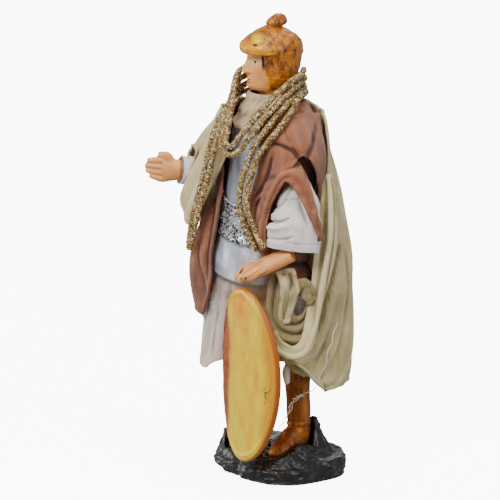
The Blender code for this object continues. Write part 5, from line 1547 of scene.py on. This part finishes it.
paint = Finish("head_paint", 0.42, {"Coat Weight": 0.15, "Coat Roughness": 0.3})
where = paint.place()
u, v = paint.split(paint.cloth())[:2]
turn = abs(u) * 100.0
flush = turn.bell(36, 22) * v.bell(0.33, 0.15)
blots = paint.noise(where, 0.0022, 3.0, 0.55)
lips = turn.over(12, 8) * (v.bell(MOUTH_SHARE + 0.016, 0.022).most(v.bell(MOUTH_SHARE - 0.020, 0.024)))
parting = turn.over(13, 9) * v.bell(MOUTH_SHARE, 0.007)
out = turn - EYE_ANGLE
up = v - EYE_SHARE
almond = (out * out * (1 / 8.6**2) + up * up * (1 / 0.0235**2)).over(1.04, 0.92)
iris = (out * out * (1 / 4.0**2) + up * up * (1 / 0.0225**2)).over(1.1, 0.85)
lash = (up - 0.020 + out * out * 0.00022).bell(0.0, 0.0120) * abs(out).over(11.5, 9.0)
crease = (up - 0.040 + out * out * 0.00016).bell(0.0, 0.005) * abs(out).over(9.5, 7.0)
brow = (v - BROW_SHARE - 0.012 + out * out * 0.00010).bell(0.0, 0.0110) * abs(out - 1.0).over(13.0, 10.0)
hair = (turn + v * 10.0).over(48.0, 51.0) * v.over(0.30, 0.44)
nape = turn.over(100, 112) * v.over(0.06, 0.10)
flesh = paint.mix(blots.over(0.35, 0.7), tint(226, 176, 136), tint(236, 190, 150))
coats = (
    (flush * 0.5, 224, 142, 116),
    (lips * 0.65, 190, 96, 80),
    (parting * 0.7, 96, 44, 34),
    (almond, 236, 232, 226),
    (almond * iris, 26, 20, 20),
    ((lash + brow).least(1.0), 30, 24, 24),
    (crease * 0.6, 130, 78, 56),
    ((hair + nape).least(1.0), 40, 30, 27),
)
flesh = paint.layers(flesh, *coats)
copper_noise = paint.noise(paint.stretched(where, (1.0, 1.0, 0.5)), 0.0016, 5.0, 0.7)
tone = paint.noise(where, 0.0055, 3.0, 0.6)
# Painted highlights on the helmet: over the front of its brim and crown, down the front edge of the cheek
# guard, and a bright spot on the brim.
painted_highlight = u.bell(0.25, 0.80) * v.bell(0.70, 0.14)
front = (u - (0.55 - v) * 0.14).bell(0.53, 0.10) * v.over(0.34, 0.20)
gold = (painted_highlight * (0.35 + 1.0 * copper_noise) + front).least(0.95)
x, y = paint.seen()
patch = x.bell(257, 9) * y.bell(42, 9) * (0.6 + copper_noise)
chip = ((x - 255) ** 2 * 0.16 + (y - 48) ** 2 * 0.5).over(1.2, 0.7)
specks = paint.noise(where, 0.0009, 3.0, 0.6).over(0.64, 0.68)
copper = (copper_noise * 0.7 + tone * 0.5).over(0.48, 0.70)
copper = paint.mix(copper, tint(104, 66, 44), tint(192, 138, 90))
coats = (
    (gold, 238, 184, 104),
    (patch.least(0.9), 252, 206, 118),
    (chip * 0.9, 46, 32, 40),
    (specks * 0.85, 58, 34, 22),
)
copper = paint.layers(copper, *coats)
opening = (turn + (v - 0.55) * 14.0).over(50.5, 53.5)
guard = (v - turn.over(90, 130) * 0.16).over(0.03, 0.05)
shell = (opening * guard).most(v.over(0.586, 0.594))
colour = paint.mix(shell, flesh, copper)
rim_shade = v.bell(0.586, 0.010) * turn.over(54, 48)
paint.colour(paint.mix(rim_shade * 0.6, colour, tint(72, 38, 20)))
paint.set(Roughness=0.42 - 0.10 * shell, Metallic=0.12 * shell)
paint.bump(copper_noise * shell + blots * 0.3, 0.00014)
add_turned("painted_head", rings, paint, "skin_head", ["head"], head_map)

# The neckcloth is a strip of beige gauze wound round the neck. Its fine gathers run slantwise, and it ends
# in a bib over the tunic's collar.

GAUZE_TONES = ((208, 190, 164), (232, 218, 196), (240, 230, 212), (150, 124, 92), (244, 234, 214))
gauze = stained_cotton("beige_gauze", 0.88, 0.00034, 0.003, (0.35, 0.7), GAUZE_TONES, 0.3, 0.00007)

degrees = np.linspace(0, 360, 201)[None, :]
share = np.linspace(0, 1, 46)[:, None]
front = bump_round(degrees, 4, 76)
height = CHIN_Z - 0.0008 - share * (0.0046 + 0.0042 * front)
radius = 0.0058 + 0.0012 * share + 0.0042 * front * share**0.8
radius = radius + 0.0003 * np.cos(share * 14 + np.radians(2 * degrees))
slant = np.where(degrees > 180, degrees - 360, degrees)
gathers = np.cos(np.radians(slant * 16) + share * 18 + 1.2 * np.sin(np.radians(slant * 3)))
second = np.cos(np.radians(slant * 47) + share * 30 + 2.0)
seam = np.cos(math.pi * np.clip(slant / 180, -1, 1)) ** 2
radius = radius + (0.00020 * gathers + 0.00008 * second) * smoothstep(4 * share) * (0.3 + 0.7 * seam)
outer = round_axis(degrees, radius, height)
outer[:, -1] = outer[:, 0]
neckcloth = add_cloth("gauze_neckcloth", outer, gauze, "scarf_cloth", ["scarf"], 0.0001, inward=1.0)

# The shirt sleeves are white cotton, stiffened, with creases that run round the arm and a stitched cuff.
# Only the forearm of each shows, from inside the coat sleeve to the wrist.

LEFT_ELBOW = corner(0.0072, 0.0178, 0.0812)
LEFT_CUFF = corner(0.0056, 0.0196, 0.0678)
SHIELD_TOP_Z = SHIELD_FOOT_Z + SHIELD_HEIGHT
LEFT_KNUCKLES = np.array([SHIELD_CENTRE[0] + 0.0002, SHIELD_CENTRE[1] - 0.0016, SHIELD_TOP_Z + 0.0038])
RIGHT_ELBOW = np.array([-0.0178, 0.0006, 0.0824])
RIGHT_CUFF = np.array([-0.0240, -0.0116, 0.0832])
RIGHT_HAND = RIGHT_CUFF + np.array([-0.0036, -0.0034, 0.0001])


def tube_rings(path, wide, deep, side, count, stations):
    """Closed rings round a path, half as wide and deep as given, their wide axis held near one direction."""
    middle = evenly(path, stations)
    along = unit(np.gradient(middle, axis=0))
    side = np.asarray(side, float)
    side = unit(side - (along @ side)[:, None] * along)
    turn = np.linspace(0, 2 * math.pi, count)[None, :, None]
    wide, deep = evenly(wide, stations)[:, None, None], evenly(deep, stations)[:, None, None]
    other = np.cross(along, side)
    return middle[:, None] + np.cos(turn) * side[:, None] * wide + np.sin(turn) * other[:, None] * deep


SHIRT_TONES = ((242, 236, 232), (226, 214, 208), (250, 248, 246), (160, 148, 144), (255, 254, 252))
CUFF_ROWS = 40  # rows of the wall that runs back inside the cuff


def add_shirt_sleeve(name, path, wide, deep, side, lines, slot, node):
    """A sleeve: a tube whose mouth is open, with a wall that turns in at the cuff and runs back inside."""
    rings = tube_rings(path, wide, deep, side, 121, 100)
    middle = rings[:, :-1].mean(1, keepdims=True)
    outward = unit(rings - middle)
    share = np.linspace(0, 1, 100)[:, None]
    turn = np.linspace(0, 360, 121)[None, :]
    rounds = 0.00022 * np.cos(share * 17 + 1.6 * np.sin(np.radians(turn)) + 0.8)
    rounds = rounds * smoothstep((0.8 - share) / 0.3)
    seam = -0.00022 * bump(share, 0.86, 0.012)
    relief = rounds + 0.00012 * grain(rings, 0.0035, 71) + creases(rings, lines) + seam
    rings = rings + outward * relief[..., None]
    rings[:, -1] = rings[:, 0]
    inside = middle[::-1][:CUFF_ROWS]
    rings = np.concatenate([rings, inside + (rings[::-1][:CUFF_ROWS] - inside) * 0.90])
    # Painted shading from the folds' depth, for the cotton's painted shade and highlight.
    painted_shading = hollows(rings, np.concatenate([outward, -outward[::-1][:CUFF_ROWS]]), True)
    cotton = stained_cotton(name + "_cotton", 0.86, 0.00034, 0.004, (0.4, 0.75), SHIRT_TONES)
    return add_turned(name, rings, cotton, slot, [node], map_of(rings), painted_shading)


LEFT_SLEEVE_FOLDS = [
    (-0.0014, 1.5, [(264, 221), (272, 222), (279, 222), (288, 219)]),
    (0.0008, 2.2, [(266, 227), (275, 229), (288, 227)]),
    (0.0007, 2.2, [(268, 215), (276, 215), (286, 211)]),
    (-0.0008, 1.6, [(272, 209), (279, 205), (286, 196), (290, 188)]),
    (-0.0006, 1.8, [(297, 200), (303, 214), (309, 232)]),
    (0.0005, 2.4, [(290, 202), (296, 218), (300, 236)]),
    (-0.0007, 1.4, [(268, 238), (280, 240), (292, 238)]),
    (-0.0004, 1.2, [(280, 200), (290, 201), (300, 199)]),
]
elbow_top = LEFT_ELBOW + (0.0002, 0.0008, 0.0052)
forearm = (LEFT_ELBOW + LEFT_CUFF) / 2 + (0.0004, -0.0006, -0.0010)
left = [elbow_top, LEFT_ELBOW, forearm, LEFT_CUFF]
left_wide, left_deep = [0.0022, 0.0054, 0.0072, 0.0070], [0.0012, 0.0026, 0.0036, 0.0032]
left = add_shirt_sleeve("left_shirt_sleeve", left, left_wide, left_deep, RIGHT, LEFT_SLEEVE_FOLDS,
                        "shirt_cotton_left", "shirt_sleeve_left")
right = [RIGHT_ELBOW, (RIGHT_ELBOW + RIGHT_CUFF) / 2 + (0, 0, -0.0006), RIGHT_CUFF]
right_wide, right_deep = [0.0026, 0.0038, 0.0040], [0.0026, 0.0038, 0.0037]
right = add_shirt_sleeve("right_shirt_sleeve", right, right_wide, right_deep, (0, 0, 1), [],
                         "shirt_cotton_right", "shirt_sleeve_right")

# The hands are terracotta, painted flesh, with the nails of the left one touched in dark paint. The left
# hand lies over the top of the shield; the right one is held out, palm up.

VOXEL = 0.00017
SOFTENING = 6
def add_hand(name, tubes, node, grooves=(), nails=()):
    """A hand modelled from its palm, fingers and thumb, fused by a voxel remesh and smoothed as cast clay is.

    The grooves between the fingers are painted as shade, and the nails get dark marks, at their places in the
    photograph.
    """
    mesh = bpy.data.meshes.new(name)
    shape = bmesh.new()
    for rings in tubes:
        rings = capped(rings)
        part = bpy.data.meshes.new("part")
        part.from_pydata(rings.reshape(-1, 3).tolist(), [], grid_faces(*rings.shape[:2]))
        shape.from_mesh(part)
        bpy.data.meshes.remove(part)
    bmesh.ops.remove_doubles(shape, verts=shape.verts, dist=WELD)
    bmesh.ops.recalc_face_normals(shape, faces=shape.faces)
    shape.to_mesh(mesh)
    shape.free()
    hand = bpy.data.objects.new(name, mesh)
    bpy.context.scene.collection.objects.link(hand)
    fuse = hand.modifiers.new("fuse", "REMESH")
    fuse.mode = "VOXEL"
    fuse.voxel_size = VOXEL
    soften = hand.modifiers.new("soften", "SMOOTH")
    soften.iterations = SOFTENING
    solid = bpy.data.meshes.new_from_object(hand.evaluated_get(bpy.context.evaluated_depsgraph_get()))
    hand.modifiers.clear()
    hand.data = solid
    skin_paint = Finish(name + "_flesh", 0.45, {"Coat Weight": 0.12, "Coat Roughness": 0.3})
    where = skin_paint.place()
    blots = skin_paint.noise(where, 0.0020, 4.0, 0.6)
    colour = skin_paint.mix(blots.over(0.35, 0.72), tint(218, 168, 130), tint(232, 186, 148))
    x, y = skin_paint.seen()
    groove_shade = 0.0
    for left_x, left_y, right_x, right_y, width in grooves:
        slope = (right_y - left_y) / (right_x - left_x)
        off = abs(y - left_y - (x - left_x) * slope).over(width, 0.0)
        groove_shade = (off * x.over(left_x - 1, left_x + 2) * x.over(right_x + 1, right_x - 3)).most(groove_shade)
    # Painted shade in the grooves between the fingers.
    colour = skin_paint.layers(colour, (groove_shade * 0.55, 168, 106, 74))
    for left_x, left_y, wide, tall, lean_over in nails:
        across = (x - left_x + (y - left_y) * lean_over) * (1 / wide)
        mark = (across * across + ((y - left_y) * (1 / tall)) ** 2).over(1.2, 0.7)
        colour = skin_paint.layers(colour, (mark * 0.92, 34, 26, 28))
    skin_paint.colour(colour)
    skin_paint.bump(blots - groove_shade * 2.0, 0.00010)
    solid.materials.clear()
    solid.materials.append(skin_paint.material)
    solid.shade_smooth()
    return hand_over(hand, [node])


reach = unit(LEFT_KNUCKLES - LEFT_CUFF)
start = LEFT_CUFF + reach * (GAP + 0.0014) + (0, 0, -0.0012)
spread_way = np.array([0.55, -0.8, -0.25])
spread_way = unit(spread_way - reach * (reach @ spread_way))
ahead = unit(np.array([-0.0034, -0.0020, -0.0006]))  # where the fingers point
back_of_hand = np.cross(reach, spread_way)
back_of_hand *= np.sign(back_of_hand[2])
palm = [start - reach * 0.0016, (start + LEFT_KNUCKLES) / 2 + (0, 0, 0.0003), LEFT_KNUCKLES - reach * 0.0004]
tubes = [tube_rings(palm, [0.0026, 0.0034, 0.0037], [0.0020, 0.0022, 0.0019], spread_way, 33, 40)]
FINGER_OFFSETS = (-0.0031, -0.0011, 0.0010, 0.0030)
FINGER_REACH = (0.0044, 0.0052, 0.0052, 0.0042)
for offset, length in zip(FINGER_OFFSETS, FINGER_REACH):
    root = LEFT_KNUCKLES - reach * 0.0020 + spread_way * offset * 0.85
    knuckle = LEFT_KNUCKLES + spread_way * offset + back_of_hand * 0.0004
    tip = knuckle + ahead * length - back_of_hand * 0.0016
    bend = (knuckle + tip) / 2 + back_of_hand * 0.0007
    wide, deep = [0.0011, 0.00118, 0.00108, 0.0007], [0.0013, 0.0014, 0.0012, 0.0008]
    tubes.append(tube_rings([root, knuckle, bend, tip], wide, deep, spread_way, 21, 30))
thumb_root = (start + LEFT_KNUCKLES) / 2 + (-0.0011, 0.0007, 0.0003)
thumb_way = np.array([-0.0022, 0.0014, 0.0006])
thumb_bend = LEFT_KNUCKLES + thumb_way - reach * 0.0012
thumb_tip = LEFT_KNUCKLES + thumb_way + reach * 0.0016 + (0, 0, -0.0010)
thumb = [0.0013, 0.0012, 0.0008]
tubes.append(tube_rings([thumb_root, thumb_bend, thumb_tip], thumb, thumb, spread_way, 21, 24))
# Grooves between the fingers, as their left and right ends and width in pixels, and nails, as middle, half
# width and height, and slant.
GROOVES = [(242, 274, 262, 261, 1.3), (246, 279, 264, 266, 1.2), (253, 281, 268, 270, 1.2)]
NAILS = [(241.5, 271, 1.4, 3.4, 0.6), (245.6, 278, 1.1, 1.4, 0.0), (241.4, 278.4, 0.8, 0.9, 0.0)]
add_hand("left_hand", tubes, "hand_left", GROOVES, NAILS)

reach = unit(RIGHT_HAND - RIGHT_CUFF)
start = RIGHT_CUFF + reach * (GAP + 0.0006)
palm = [start - reach * 0.0012, (start + RIGHT_HAND) / 2, RIGHT_HAND]
tubes = [tube_rings(palm, [0.0027, 0.0033, 0.0034], [0.0021, 0.0019, 0.0015], UPRIGHT, 33, 36)]
for offset, length in zip((-0.0026, -0.0009, 0.0008, 0.0025), (0.0036, 0.0046, 0.0048, 0.0042)):
    root = RIGHT_HAND - reach * 0.0016 + UPRIGHT * offset * 0.9
    knuckle = RIGHT_HAND + UPRIGHT * offset
    tip = knuckle + reach * length + UPRIGHT * (0.0004 - offset * 0.18)
    wide, deep = [0.00098, 0.00102, 0.00096, 0.00062], [0.0011, 0.0012, 0.0011, 0.0007]
    tubes.append(tube_rings([root, knuckle, (knuckle + tip) / 2, tip], wide, deep, UPRIGHT, 21, 26))
thumb_root = start + reach * 0.0014 + UPRIGHT * 0.0014
thumb_bend = RIGHT_HAND - reach * 0.0014 + UPRIGHT * 0.0037
thumb_tip = RIGHT_HAND + reach * 0.0012 + UPRIGHT * 0.0041
thumb = [0.0013, 0.00125, 0.0009]
palm_way = np.cross(reach, UPRIGHT)
tubes.append(tube_rings([thumb_root, thumb_bend, thumb_tip], thumb, thumb, palm_way, 21, 24))
add_hand("right_hand", tubes, "hand_right")
